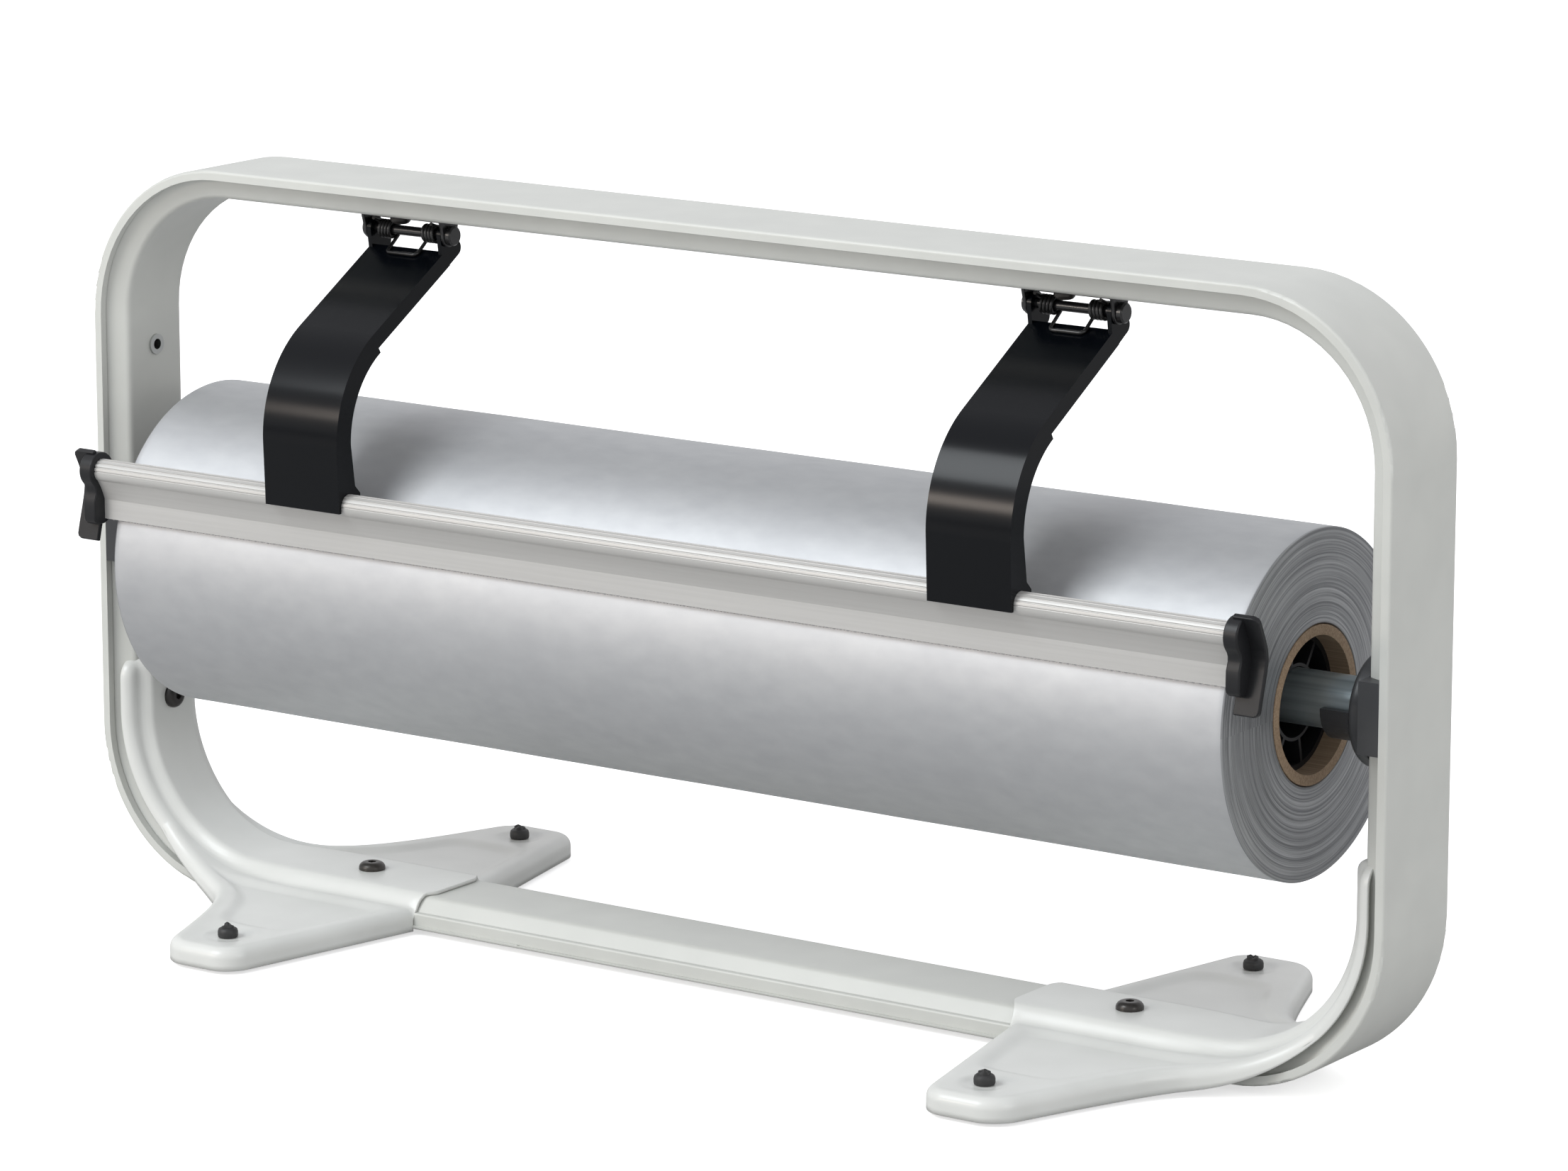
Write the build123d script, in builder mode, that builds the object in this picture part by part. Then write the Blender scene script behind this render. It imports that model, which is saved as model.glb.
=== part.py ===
from build123d import *
import os
from math import acos, atan2, cos, degrees, hypot, radians, sin, sqrt

os.makedirs("parts", exist_ok=True)

# Counter-top paper roll cutter, in millimetres.
# The origin is on the counter under the middle of the frame. X runs along the roll,
# -Y is the user's side and Z is up.

# ---------------------------------------------------------------- clearances
seat_gap = 0.05  # between pieces that are fixed to each other
side_play = 0.2  # beside an ear that turns against another
pin_play = 0.1  # radial, between the hinge pin and the arm that turns on it
axle_play = 0.2  # radial, between the axle tube and its cradles
running_gap = 0.3  # between a turning or swinging piece and a fixed one
cut_margin = 1.0  # how far a cut starts outside what it cuts
spoke_sink = 0.25  # how far each end of a spoke lies inside its ring

# ---------------------------------------------------------------- roll and axle
roll_length = 500.0
roll_radius = 63.5
core_radius = 28.8
core_wall = 3.8
axle_height = 141.7
axle_radius = 10.0
axle_wall = 1.5
hub_bore_radius = 12.8
hub_wall = 1.2
adapter_rim_wall = 2.0
adapter_depth = 24.0
adapter_recess = 8.0
spoke_count = 8
spoke_thickness = 1.4
spoke_start = 12.0  # degrees round from the front

# The roll hangs on its hub, so its axis is lower than the axle's.
roll_height = axle_height - (hub_bore_radius - axle_radius - running_gap)

# ---------------------------------------------------------------- frame ring
roll_side_gap = 9.25  # from the roll's end to the cradle beside it
cradle_length = 15.0
disc_thickness = 6.0
frame_top = 290.5
frame_bottom = 2.5
frame_depth = 46.0
corner_radius = 62.0
channel_depth = 12.0  # from the outside of the ring to its flat inner face
crown_width = 31.0
crown_round = 3.0
sheet = 1.2
lip_width = 3.0
bead_round = 1.1
flange_round = 0.4  # where the channel's wall meets its flange
wall_foot = 3.1  # from the frame's edge to the foot of the channel's slanted wall
rail_overlap = 8.0  # how far the rail channel runs in under the foot plate
rail_step_width = 1.95
rail_step_round = 0.8
rail_foot_round = 0.5
rail_edge_height = 1.5
rail_edge_left = -86.3
rail_edge_right = 93.9

frame_width = roll_length + 2 * (roll_side_gap + cradle_length + disc_thickness + channel_depth)
hem_depth = 3 * sheet + 2 * seat_gap
frame_height = frame_top - frame_bottom
frame_middle = (frame_top + frame_bottom) / 2
crown_floor = frame_bottom + channel_depth
crown_ceiling = frame_top - channel_depth
crown_side = frame_width / 2 - channel_depth

# ---------------------------------------------------------------- bearings
disc_radius = 21.0
cradle_wall = 2.8
block_height = 26.3
block_rise = 1.45  # the block's middle stands this far above the axle
block_back = 4.0
block_round = 2.5

disc_inner = crown_side - disc_thickness
cradle_inner = disc_inner - cradle_length
block_middle = axle_height + block_rise
axle_end = disc_inner - running_gap

# ---------------------------------------------------------------- foot plates
foot_sheet = 1.5
skirt_bottom = 1.5
plate_top = 10.3
plate_round = 3.5
foot_inset = 70.75  # from the frame's side to the outer end of the plate
tip_reach = 110.5
tip_width = 37.4
tip_shift = 32.9  # from the plate's outer end in to the tip
root_width = 84.5
root_reach = 24.0
tip_round = 14.0
rib_overhang = 4.0  # how far the rib runs on over the rail, past the plate
rib_half_top = 17.0
rib_half_base = 22.5
panel_depth = 0.7
panel_round = 5.0
panel_margin = 5.0
panel_inner_margin = 10.0
panel_outer_margin = 14.0
panel_tip_half = 10.0
panel_tip_margin = 17.0
tongue_top = 90.0
tongue_half = 21.0
tongue_round = 9.0
tongue_offset = 5.25  # from the column's inner face to the tongue's face
tongue_bend = 53.2

root_outer = frame_width / 2 - foot_inset
root_inner = root_outer - root_width
tip_outer = root_outer - tip_shift
tip_inner = tip_outer - tip_width
rib_start = root_inner - rib_overhang
rail_joint = root_inner + rail_overlap
rail_step_z = plate_top - foot_sheet - seat_gap
rib_top = crown_floor + seat_gap + foot_sheet
tongue_face = crown_side - tongue_offset
bend_x = tongue_face - tongue_bend
bend_z = rib_top + tongue_bend

# ---------------------------------------------------------------- rubber feet
stem_inset = 49.5  # from the plate's outer end in to the stems
stem_tip_gap = 18.5  # from the tip's end in to the stems
stem_radius = 3.0
pad_radius = 9.5
pad_taper = 1.0
bulb_radius = 4.3
bulb_height = 3.6

stem_x = root_outer - stem_inset
stem_y = tip_reach - stem_tip_gap

# ---------------------------------------------------------------- fasteners
bolt_radius = 2.5
bolt_head_radius = 5.2
bolt_head_height = 3.0
bolt_socket = 3.0
nut_width = 8.0
nut_height = 4.0
rail_bolt_inset = 46.7  # from the plate's outer end in to the rail bolt
column_bolt_z = 73.0
rivet_nut_drop = 76.0  # from the ring's top down to the accessory nut
rivet_nut_z = frame_top - rivet_nut_drop
rivet_nut_bore = 2.1
rivet_nut_radius = 3.45
rivet_flange_radius = 4.0
rivet_flange = 0.8
rivet_nut_length = 9.0

rail_bolt_x = root_outer - rail_bolt_inset

# ---------------------------------------------------------------- hinges
arm_offset = 150.0
pin_y = -2.5
pin_drop = 6.8  # from the top rail's flat underside down to the pin
pin_radius = 1.9
pin_head_radius = 3.8
pin_head_height = 2.4
pin_end = 1.0  # how far the pin stands out past its clip
clip_thickness = 1.0
clip_radius = 3.6
bracket_sheet = 1.4
bracket_front = -8.2
bracket_back = 3.0
bracket_ear_radius = 4.4
bracket_screw_shift = -3.4
bracket_screw_y = -4.0
screw_radius = 2.0
screw_head_radius = 4.0
screw_head_height = 2.5
screw_nut_width = 7.0
screw_nut_height = 3.2
wire_radius = 0.7
coil_radius = 3.0
coil_full_turns = 4
coil_pitch = 1.5
spring_half = 7.2
spring_reach = 9.0
spring_corner = 1.8
wire_straight = 1.2  # where the wire leaves a coil
wire_bend = 2.0

pin_z = crown_ceiling - pin_drop
bracket_ceiling = crown_ceiling - seat_gap
bracket_floor = bracket_ceiling - bracket_sheet

# ---------------------------------------------------------------- cutter bar
bar_overhang = 5.5  # past each end of the roll
bar_wall = 1.5
head_reach = 0.8  # the head's middle lies this far in front of the roll
head_rise = 37.8  # and this far above the roll's axis
head_radius = 4.5
head_bore = 2.1
groove_radius = 0.35
groove_count = 5
groove_step = 22.0
bar_hollow = 0.5
web_direction = 200.0
crease_shift = 1.3  # behind the head's middle
crease_drop = 11.5  # below the head's middle
bar_drop = 19.2  # from the head's middle down to the bar's lower edge
blade_thickness = 0.5
blade_inset = 2.6  # from each end of the bar
blade_height = 7.4
blade_tooth = 1.0
tooth_show = 0.6  # how far the teeth stand out below the bar
tooth_pitch = 3.0
slot_wall = 0.8
slot_offset = 0.3  # from the crease down to the top of the slot
slot_front_depth = 4.8  # how far the slot's rear wall reaches down

bar_length = roll_length + 2 * bar_overhang
head_y = -roll_radius - head_reach
head_z = roll_height + head_rise
crease_y = head_y + crease_shift
crease_z = head_z - crease_drop
bar_bottom = head_z - bar_drop
blade_length = bar_length - 2 * blade_inset
blade_tip = bar_bottom - tooth_show
blade_top = blade_tip + blade_height
slot_top = crease_z - slot_offset
slot_bottom = slot_top - slot_front_depth

# ---------------------------------------------------------------- arms
arm_width = 35.5
arm_sheet = 1.6
arm_flange_sheet = 1.8
arm_front_reach = 6.9  # in front of the bar's head
arm_tip_reach = 5.9
arm_tip_drop = 2.3
arm_bend_rise = 23.1  # from the head's middle up to the start of the bend
arm_bend_headroom = 25.6  # from the top of the bend's circle up to the pin
arm_face_drop = 4.66  # from the pin down to the outside of the arm's face
arm_flange_bend = 8.6
arm_flange_straight = 6.4
arm_face_end = 4.4  # along the arm, from the pin down to the end of its face
arm_ear_radius = 4.2
arm_heel_radius = 3.0
arm_heel_shift = 2.0
arm_ear_sink = 0.2  # how far the ear's edge lies inside the flange's
arm_hook_reach = 6.9  # behind the bar's head
arm_hook_rise = 4.0
arm_hook_slant = 3.0

# ---------------------------------------------------------------- end caps
cap_length = 5.5
cap_grip = 2.5  # how far the cap's socket takes in the bar's end
cap_radius = 7.2
cap_pad_half = 6.0
cap_pad_drop = 23.0
cap_pad_height = 12.0
cap_waist = 4.3
cap_chamfer = 1.0
wing_thickness = 2.5
wing_round = 1.2
wing_top_front = (-5.2, 5.6)  # the wing's corners, measured from the head's middle
wing_top_back = (6.3, 3.5)
wing_back_high = (14.7, -10.0)
wing_back_low = (14.3, -15.0)
wing_foot_back = (9.3, -32.4)
wing_foot_front = (-5.7, -28.0)
peg_length = 12.0

# ---------------------------------------------------------------- bar clips
clip_width = 20.0
clip_sheet = 1.2
clip_rise = 14.5
clip_drop = 6.0
clip_lip = 3.0
clip_screw_rise = 10.0
boss_radius = 3.5
clip_screw_radius = 1.5
clip_screw_head = 3.0
clip_screw_head_height = 2.0
clip_screw_length = 8.0

clip_top = head_z + clip_rise
clip_bottom = head_z - clip_drop
clip_screw_z = head_z + clip_screw_rise


# ---------------------------------------------------------------- shared shapes
def ring_outline(inset, mode=Mode.ADD):
    """Adds the frame's rounded outline, drawn in from the outside by the inset."""
    with Locations((0, frame_middle)):
        RectangleRounded(
            frame_width - 2 * inset, frame_height - 2 * inset, corner_radius - inset, mode=mode
        )


def ring_band(plane, outer_inset, inner_inset, depth):
    """Adds a band of the ring between two insets, as deep as asked along the plane's normal."""
    with BuildSketch(plane) as band:
        ring_outline(outer_inset)
        ring_outline(inner_inset, mode=Mode.SUBTRACT)
    extrude(band.sketch, amount=depth)


def section_of(plane):
    """Gives the plane that holds a fastener's axis as its local Y."""
    return Plane(origin=plane.origin, x_dir=plane.x_dir, z_dir=-plane.y_dir)


def dome_screw(plane, head_radius, head_height, shank_radius, shank_length, socket):
    """Adds a dome-headed screw whose head stands on the plane and points along its normal."""
    rim = head_height * 0.3
    crown = head_radius * 0.55
    with BuildSketch(section_of(plane)) as half_section:
        with BuildLine():
            Polyline((0, head_height), (0, -shank_length), (shank_radius, -shank_length))
            Polyline((shank_radius, -shank_length), (shank_radius, 0), (head_radius, 0))
            Line((head_radius, 0), (head_radius, rim))
            ThreePointArc(
                (head_radius, rim),
                ((head_radius + crown) / 2 + head_radius * 0.1, (rim + head_height) / 2 + rim * 0.3),
                (crown, head_height),
            )
            Line((crown, head_height), (0, head_height))
        make_face()
    revolve(half_section.sketch, axis=Axis(plane.origin, plane.z_dir))
    with BuildSketch(plane.offset(head_height)) as hexagon:
        RegularPolygon(radius=socket / sqrt(3), side_count=6)
    extrude(hexagon.sketch, amount=-head_height * 0.6, mode=Mode.SUBTRACT)


def hex_nut(plane, width, height, thread_radius):
    """Adds a nut that lies on the plane and stands along its normal."""
    with BuildSketch(plane) as nut_plan:
        RegularPolygon(radius=width / sqrt(3), side_count=6)
        Circle(thread_radius + seat_gap, mode=Mode.SUBTRACT)
    extrude(nut_plan.sketch, amount=height)


def facing_plane(x, y, z, direction):
    """Gives a plane at a point whose normal is the direction."""
    return Plane(origin=(x, y, z), z_dir=direction)


def finish(builder, name):
    """Labels a finished piece and writes it."""
    builder.part.label = name
    export_step(builder.part, f"parts/{name}.step")


# ---------------------------------------------------------------- frame_outer_strip
# A flat band bent round the outside, with both edges hemmed over the inner channel.
with BuildPart() as frame_outer_strip:
    ring_band(Plane.XZ.offset(frame_depth / 2), 0, sheet, -frame_depth)
    for side in (1, -1):
        edge_plane = Plane.XZ.offset(side * frame_depth / 2)
        ring_band(edge_plane, 0, hem_depth, -side * sheet)
        ring_band(edge_plane, hem_depth - sheet, hem_depth, -side * lip_width)
    bead_edges = frame_outer_strip.edges().filter_by(
        lambda edge: abs(abs(edge.center().Y) - frame_depth / 2) < 0.01
        and (
            abs(abs(edge.center().X) - frame_width / 2) < 0.01
            or abs(edge.center().Z - frame_top) < 0.01
            or abs(edge.center().Z - frame_bottom) < 0.01
            or (
                edge.geom_type == GeomType.CIRCLE and abs(edge.radius - corner_radius) < 0.01
            )
        )
    )
    fillet(bead_edges, radius=bead_round)
    # Along the bottom rail the hem is only an upturned edge, and it is cut away in the middle.
    with BuildSketch(Plane.XY.offset(frame_bottom + rail_edge_height)):
        Rectangle(2 * rail_joint, frame_depth + 2 * cut_margin)
    extrude(amount=hem_depth, mode=Mode.SUBTRACT)
    with BuildSketch(Plane.XY.offset(frame_bottom + sheet)):
        with Locations(((rail_edge_left + rail_edge_right) / 2, 0)):
            Rectangle(rail_edge_right - rail_edge_left, frame_depth + 2 * cut_margin)
    extrude(amount=hem_depth, mode=Mode.SUBTRACT)
finish(frame_outer_strip, "frame_outer_strip")

# ---------------------------------------------------------------- frame_inner_channel
# A hat section that runs round the inside of the band, from one end of the rail to the other.
with BuildPart() as frame_inner_channel:
    with BuildLine(Plane.XZ) as ring_path:
        FilletPolyline(
            (rail_joint, frame_bottom),
            (frame_width / 2, frame_bottom),
            (frame_width / 2, frame_top),
            (-frame_width / 2, frame_top),
            (-frame_width / 2, frame_bottom),
            (-rail_joint, frame_bottom),
            radius=corner_radius,
        )
    flange_reach = frame_depth / 2 - sheet - seat_gap
    flange_level = frame_bottom + 2 * sheet + seat_gap
    wall_y = frame_depth / 2 - wall_foot
    with BuildSketch(Plane.YZ.offset(rail_joint)) as hat_section:
        with BuildLine():
            FilletPolyline(
                (-flange_reach, flange_level),
                (-wall_y, flange_level),
                (-crown_width / 2, crown_floor),
                (crown_width / 2, crown_floor),
                (wall_y, flange_level),
                (flange_reach, flange_level),
                radius=[flange_round, crown_round, crown_round, flange_round],
            )
            offset(amount=sheet, side=Side.RIGHT)
        make_face()
    sweep(path=ring_path.wires()[0])
    for side in (1, -1):
        # The notch that takes the bearing's block.
        notch_inner = side * (crown_side - cut_margin)
        notch_outer = side * (frame_width / 2 - hem_depth)
        with BuildSketch(Plane.XY.offset(block_middle - block_height / 2)):
            notch_middle_y = (block_back - frame_depth / 2) / 2 - cut_margin
            notch_depth = block_back + frame_depth / 2 + 2 * cut_margin
            with Locations(((notch_inner + notch_outer) / 2, notch_middle_y)):
                Rectangle(abs(notch_outer - notch_inner), notch_depth)
        extrude(amount=block_height, mode=Mode.SUBTRACT)
        # Holes for the rail bolt, the column bolt, the rivet nut and the hinge screw.
        with BuildSketch(facing_plane(side * rail_bolt_x, 0, crown_floor, (0, 0, 1))):
            Circle(bolt_radius + axle_play)
        extrude(amount=channel_depth / 2, both=True, mode=Mode.SUBTRACT)
        with BuildSketch(facing_plane(side * crown_side, 0, column_bolt_z, (side, 0, 0))):
            Circle(bolt_radius + axle_play)
        extrude(amount=channel_depth / 2, both=True, mode=Mode.SUBTRACT)
        with BuildSketch(facing_plane(side * crown_side, 0, rivet_nut_z, (side, 0, 0))):
            Circle(rivet_nut_radius + seat_gap)
        extrude(amount=channel_depth / 2, both=True, mode=Mode.SUBTRACT)
        screw_x = side * arm_offset + bracket_screw_shift
        with BuildSketch(facing_plane(screw_x, bracket_screw_y, crown_ceiling, (0, 0, 1))):
            Circle(screw_radius + axle_play)
        extrude(amount=channel_depth / 2, both=True, mode=Mode.SUBTRACT)
finish(frame_inner_channel, "frame_inner_channel")

# ---------------------------------------------------------------- bottom_rail_channel
# A stepped hat section that closes the bottom rail between the feet.
with BuildPart() as bottom_rail_channel:
    skirt_y = frame_depth / 2 - sheet - seat_gap
    with BuildSketch(Plane.YZ.offset(-rail_joint + seat_gap)):
        with BuildLine():
            FilletPolyline(
                (-skirt_y, frame_bottom + sheet + seat_gap),
                (-skirt_y, rail_step_z),
                (-skirt_y + rail_step_width, rail_step_z),
                (-crown_width / 2, crown_floor),
                (crown_width / 2, crown_floor),
                (skirt_y - rail_step_width, rail_step_z),
                (skirt_y, rail_step_z),
                (skirt_y, frame_bottom + sheet + seat_gap),
                radius=[
                    rail_step_round,
                    rail_foot_round,
                    crown_round,
                    crown_round,
                    rail_foot_round,
                    rail_step_round,
                ],
            )
            offset(amount=sheet, side=Side.RIGHT)
        make_face()
    extrude(amount=2 * (rail_joint - seat_gap))
finish(bottom_rail_channel, "bottom_rail_channel")

# ---------------------------------------------------------------- foot plates
# A pressed plate that straddles the rail and rises as a tongue inside the corner.
with BuildPart() as foot_plate_right:
    with BuildSketch(Plane.XY.offset(skirt_bottom)) as plate_plan:
        with BuildLine():
            Polyline(
                (root_inner, -root_reach),
                (tip_inner, -tip_reach),
                (tip_outer, -tip_reach),
                (root_outer, -root_reach),
                (root_outer, root_reach),
                (tip_outer, tip_reach),
                (tip_inner, tip_reach),
                (root_inner, root_reach),
                close=True,
            )
        make_face()
        tip_corners = plate_plan.vertices().filter_by(lambda v: abs(abs(v.Y) - tip_reach) < 0.01)
        fillet(tip_corners, radius=tip_round)
    extrude(amount=plate_top - skirt_bottom)
    fillet(foot_plate_right.faces().sort_by(Axis.Z)[-1].edges(), radius=plate_round)
    rib_low = plate_top - 2 * foot_sheet
    rib_slope = (rib_half_base - rib_half_top) / (rib_top - plate_top)
    with BuildSketch(Plane.YZ.offset(rib_start)):
        with BuildLine():
            Polyline(
                (-rib_half_base, rib_low),
                (-rib_half_base, plate_top),
                (-rib_half_top, rib_top),
                (rib_half_top, rib_top),
                (rib_half_base, plate_top),
                (rib_half_base, rib_low),
                close=True,
            )
        make_face()
    extrude(amount=bend_x - rib_start)
    # The tongue, first as a solid between the rail's corner and its own face.
    corner_x = frame_width / 2 - corner_radius
    corner_z = frame_bottom + corner_radius
    contact_radius = corner_radius - channel_depth - seat_gap
    root_x = bend_x - tongue_round
    with BuildSketch(Plane.XZ):
        with BuildLine():
            Line((root_x, rib_top), (bend_x, rib_top))
            CenterArc((bend_x, bend_z), tongue_bend, -90, 90)
            Line((tongue_face, bend_z), (tongue_face, tongue_top))
            Line((tongue_face, tongue_top), (crown_side - seat_gap, tongue_top))
            Line((crown_side - seat_gap, tongue_top), (crown_side - seat_gap, corner_z))
            CenterArc((corner_x, corner_z), contact_radius, -90, 90)
            Line((corner_x, corner_z - contact_radius), (root_x, corner_z - contact_radius))
            Line((root_x, corner_z - contact_radius), (root_x, rib_top))
        make_face()
    extrude(amount=tongue_half, both=True)
    tongue_corners = foot_plate_right.edges().filter_by(Axis.X).filter_by(
        lambda edge: edge.center().Z > tongue_top - 0.01
    )
    fillet(tongue_corners, radius=tongue_round)
    # The hollow under the plate, the rib and the tongue.
    with BuildSketch(Plane.XY):
        add(plate_plan.sketch.moved(Location((0, 0, -skirt_bottom))))
        offset(amount=-foot_sheet, mode=Mode.REPLACE)
    extrude(amount=plate_top - foot_sheet, mode=Mode.SUBTRACT)
    rail_gap_y = frame_depth / 2 + seat_gap
    with BuildSketch(Plane.YZ.offset(rib_start - cut_margin)):
        with BuildLine():
            hollow_base = rib_half_base - foot_sheet
            Polyline(
                (-rail_gap_y, -cut_margin),
                (-rail_gap_y, plate_top - foot_sheet),
                (-hollow_base, plate_top - foot_sheet),
                (-hollow_base + rib_slope * (foot_sheet / 2), plate_top - foot_sheet / 2),
                (-rib_half_top + foot_sheet / 2, rib_top - foot_sheet),
                (rib_half_top - foot_sheet / 2, rib_top - foot_sheet),
                (hollow_base - rib_slope * (foot_sheet / 2), plate_top - foot_sheet / 2),
                (hollow_base, plate_top - foot_sheet),
                (rail_gap_y, plate_top - foot_sheet),
                (rail_gap_y, -cut_margin),
                close=True,
            )
        make_face()
    extrude(amount=bend_x - rib_start + cut_margin, mode=Mode.SUBTRACT)
    hollow_half = tongue_half - foot_sheet
    hollow_side = crown_side + cut_margin
    for half_width, top in (
        (hollow_half, tongue_top - tongue_round),
        (tongue_half - tongue_round, tongue_top - foot_sheet),
    ):
        with BuildSketch(Plane.XZ):
            with BuildLine():
                Line((bend_x, 0), (bend_x, rib_top - foot_sheet))
                CenterArc((bend_x, bend_z), tongue_bend + foot_sheet, -90, 90)
                Line((tongue_face + foot_sheet, bend_z), (tongue_face + foot_sheet, top))
                Line((tongue_face + foot_sheet, top), (hollow_side, top))
                Line((hollow_side, top), (hollow_side, 0))
                Line((hollow_side, 0), (bend_x, 0))
            make_face()
        extrude(amount=half_width, both=True, mode=Mode.SUBTRACT)
    # The pressed panels beside the rib.
    for side in (1, -1):
        with BuildSketch(Plane.XY.offset(plate_top - panel_depth)) as panel:
            with BuildLine():
                Polyline(
                    (root_inner + panel_inner_margin, side * (rib_half_base + panel_margin)),
                    (root_outer - panel_outer_margin, side * (rib_half_base + panel_margin)),
                    (stem_x + panel_tip_half, side * (stem_y - panel_tip_margin)),
                    (stem_x - panel_tip_half, side * (stem_y - panel_tip_margin)),
                    close=True,
                )
            make_face()
            fillet(panel.vertices(), radius=panel_round)
        extrude(amount=panel_depth, mode=Mode.SUBTRACT)
    # Holes for the rail bolt, the column bolt and the stems of the rubber feet.
    with BuildSketch(Plane.XY.offset(rib_top)):
        with Locations((rail_bolt_x, 0)):
            Circle(bolt_radius + axle_play)
    extrude(amount=-2 * foot_sheet, mode=Mode.SUBTRACT)
    with BuildSketch(Plane.YZ.offset(tongue_face)):
        with Locations((0, column_bolt_z)):
            Circle(bolt_radius + axle_play)
    extrude(amount=2 * foot_sheet, mode=Mode.SUBTRACT)
    with BuildSketch(Plane.XY.offset(plate_top)):
        with Locations((stem_x, stem_y), (stem_x, -stem_y)):
            Circle(stem_radius + seat_gap)
    extrude(amount=-2 * foot_sheet, mode=Mode.SUBTRACT)
finish(foot_plate_right, "foot_plate_right")

with BuildPart() as foot_plate_left:
    mirror(foot_plate_right.part, about=Plane.YZ)
finish(foot_plate_left, "foot_plate_left")

# ---------------------------------------------------------------- rubber_feet
# Four pads whose stems are pulled up through the plates.
with BuildPart() as rubber_feet:
    pad_top = plate_top - foot_sheet - seat_gap
    for side in (1, -1):
        for end in (1, -1):
            pad_base = (side * stem_x, end * stem_y, 0)
            with BuildSketch(Plane(origin=pad_base, x_dir=(1, 0, 0), z_dir=(0, -1, 0))):
                with BuildLine():
                    Polyline((0, 0), (pad_radius - pad_taper, 0), (pad_radius, pad_taper))
                    Line((pad_radius, pad_taper), (pad_radius - pad_taper, pad_top))
                    Line((pad_radius - pad_taper, pad_top), (stem_radius, pad_top))
                    Polyline((stem_radius, pad_top), (stem_radius, plate_top + seat_gap))
                    Line((stem_radius, plate_top + seat_gap), (bulb_radius, plate_top + seat_gap))
                    ThreePointArc(
                        (bulb_radius, plate_top + seat_gap),
                        (bulb_radius * 0.9, plate_top + bulb_height * 0.6),
                        (bulb_radius * 0.4, plate_top + bulb_height),
                    )
                    Line((bulb_radius * 0.4, plate_top + bulb_height), (0, plate_top + bulb_height))
                    Line((0, plate_top + bulb_height), (0, 0))
                make_face()
            revolve(axis=Axis(pad_base, (0, 0, 1)))
finish(rubber_feet, "rubber_feet")

# ---------------------------------------------------------------- rail_bolts and column_bolts
bolt_grip = foot_sheet + seat_gap + sheet + nut_height
with BuildPart() as rail_bolts:
    for side in (1, -1):
        bolt_plane = facing_plane(side * rail_bolt_x, 0, rib_top + seat_gap, (0, 0, 1))
        dome_screw(
            bolt_plane, bolt_head_radius, bolt_head_height, bolt_radius, bolt_grip, bolt_socket
        )
finish(rail_bolts, "rail_bolts")

with BuildPart() as column_bolts:
    column_grip = tongue_offset + sheet + nut_height
    for side in (1, -1):
        bolt_plane = facing_plane(
            side * (tongue_face - seat_gap), 0, column_bolt_z, (-side, 0, 0)
        )
        dome_screw(
            bolt_plane, bolt_head_radius, bolt_head_height, bolt_radius, column_grip, bolt_socket
        )
finish(column_bolts, "column_bolts")

# ---------------------------------------------------------------- weld_nuts
# Nuts welded to the hidden side of the ring channel.
with BuildPart() as weld_nuts:
    weld_depth = sheet + seat_gap
    for side in (1, -1):
        rail_nut_plane = facing_plane(side * rail_bolt_x, 0, crown_floor - weld_depth, (0, 0, -1))
        hex_nut(rail_nut_plane, nut_width, nut_height, bolt_radius)
        column_nut_x = side * (crown_side + weld_depth)
        column_nut_plane = facing_plane(column_nut_x, 0, column_bolt_z, (side, 0, 0))
        hex_nut(column_nut_plane, nut_width, nut_height, bolt_radius)
        screw_x = side * arm_offset + bracket_screw_shift
        screw_nut_z = crown_ceiling + weld_depth
        screw_nut_plane = facing_plane(screw_x, bracket_screw_y, screw_nut_z, (0, 0, 1))
        hex_nut(screw_nut_plane, screw_nut_width, screw_nut_height, screw_radius)
finish(weld_nuts, "weld_nuts")

# ---------------------------------------------------------------- rivet_nuts
# Threaded inserts set into both columns above the roll.
with BuildPart() as rivet_nuts:
    for side in (1, -1):
        with BuildSketch(facing_plane(side * (crown_side - seat_gap), 0, rivet_nut_z, (-side, 0, 0))):
            Circle(rivet_flange_radius)
            Circle(rivet_nut_bore, mode=Mode.SUBTRACT)
        extrude(amount=rivet_flange)
        with BuildSketch(facing_plane(side * (crown_side - seat_gap), 0, rivet_nut_z, (side, 0, 0))):
            Circle(rivet_nut_radius)
            Circle(rivet_nut_bore, mode=Mode.SUBTRACT)
        extrude(amount=rivet_nut_length)
finish(rivet_nuts, "rivet_nuts")

# ---------------------------------------------------------------- bearings
# A disc against the column, a block in its notch and a half cradle under the axle.
with BuildPart() as bearing_right:
    with BuildSketch(Plane.YZ.offset(disc_inner)):
        with Locations((0, axle_height)):
            Circle(disc_radius)
    extrude(amount=disc_thickness - seat_gap)
    fillet(bearing_right.edges().sort_by(Axis.X)[0], radius=block_round)
    block_outer = frame_width / 2 - hem_depth - seat_gap
    block_front = -frame_depth / 2 + seat_gap
    with BuildSketch(Plane.YZ.offset(crown_side - 2 * seat_gap)) as block_plan:
        with Locations(((block_front + block_back) / 2, block_middle)):
            Rectangle(block_back - block_front - seat_gap, block_height - 2 * seat_gap)
    extrude(amount=block_outer - crown_side + 2 * seat_gap)
    cradle_radius = axle_radius + axle_play
    with BuildSketch(Plane.YZ.offset(cradle_inner)):
        with Locations((0, axle_height)):
            Circle(cradle_radius + cradle_wall)
            Circle(cradle_radius, mode=Mode.SUBTRACT)
        with Locations((0, axle_height + disc_radius / 2)):
            Rectangle(2 * disc_radius, disc_radius, mode=Mode.SUBTRACT)
    extrude(amount=cradle_length)
finish(bearing_right, "bearing_right")

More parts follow.
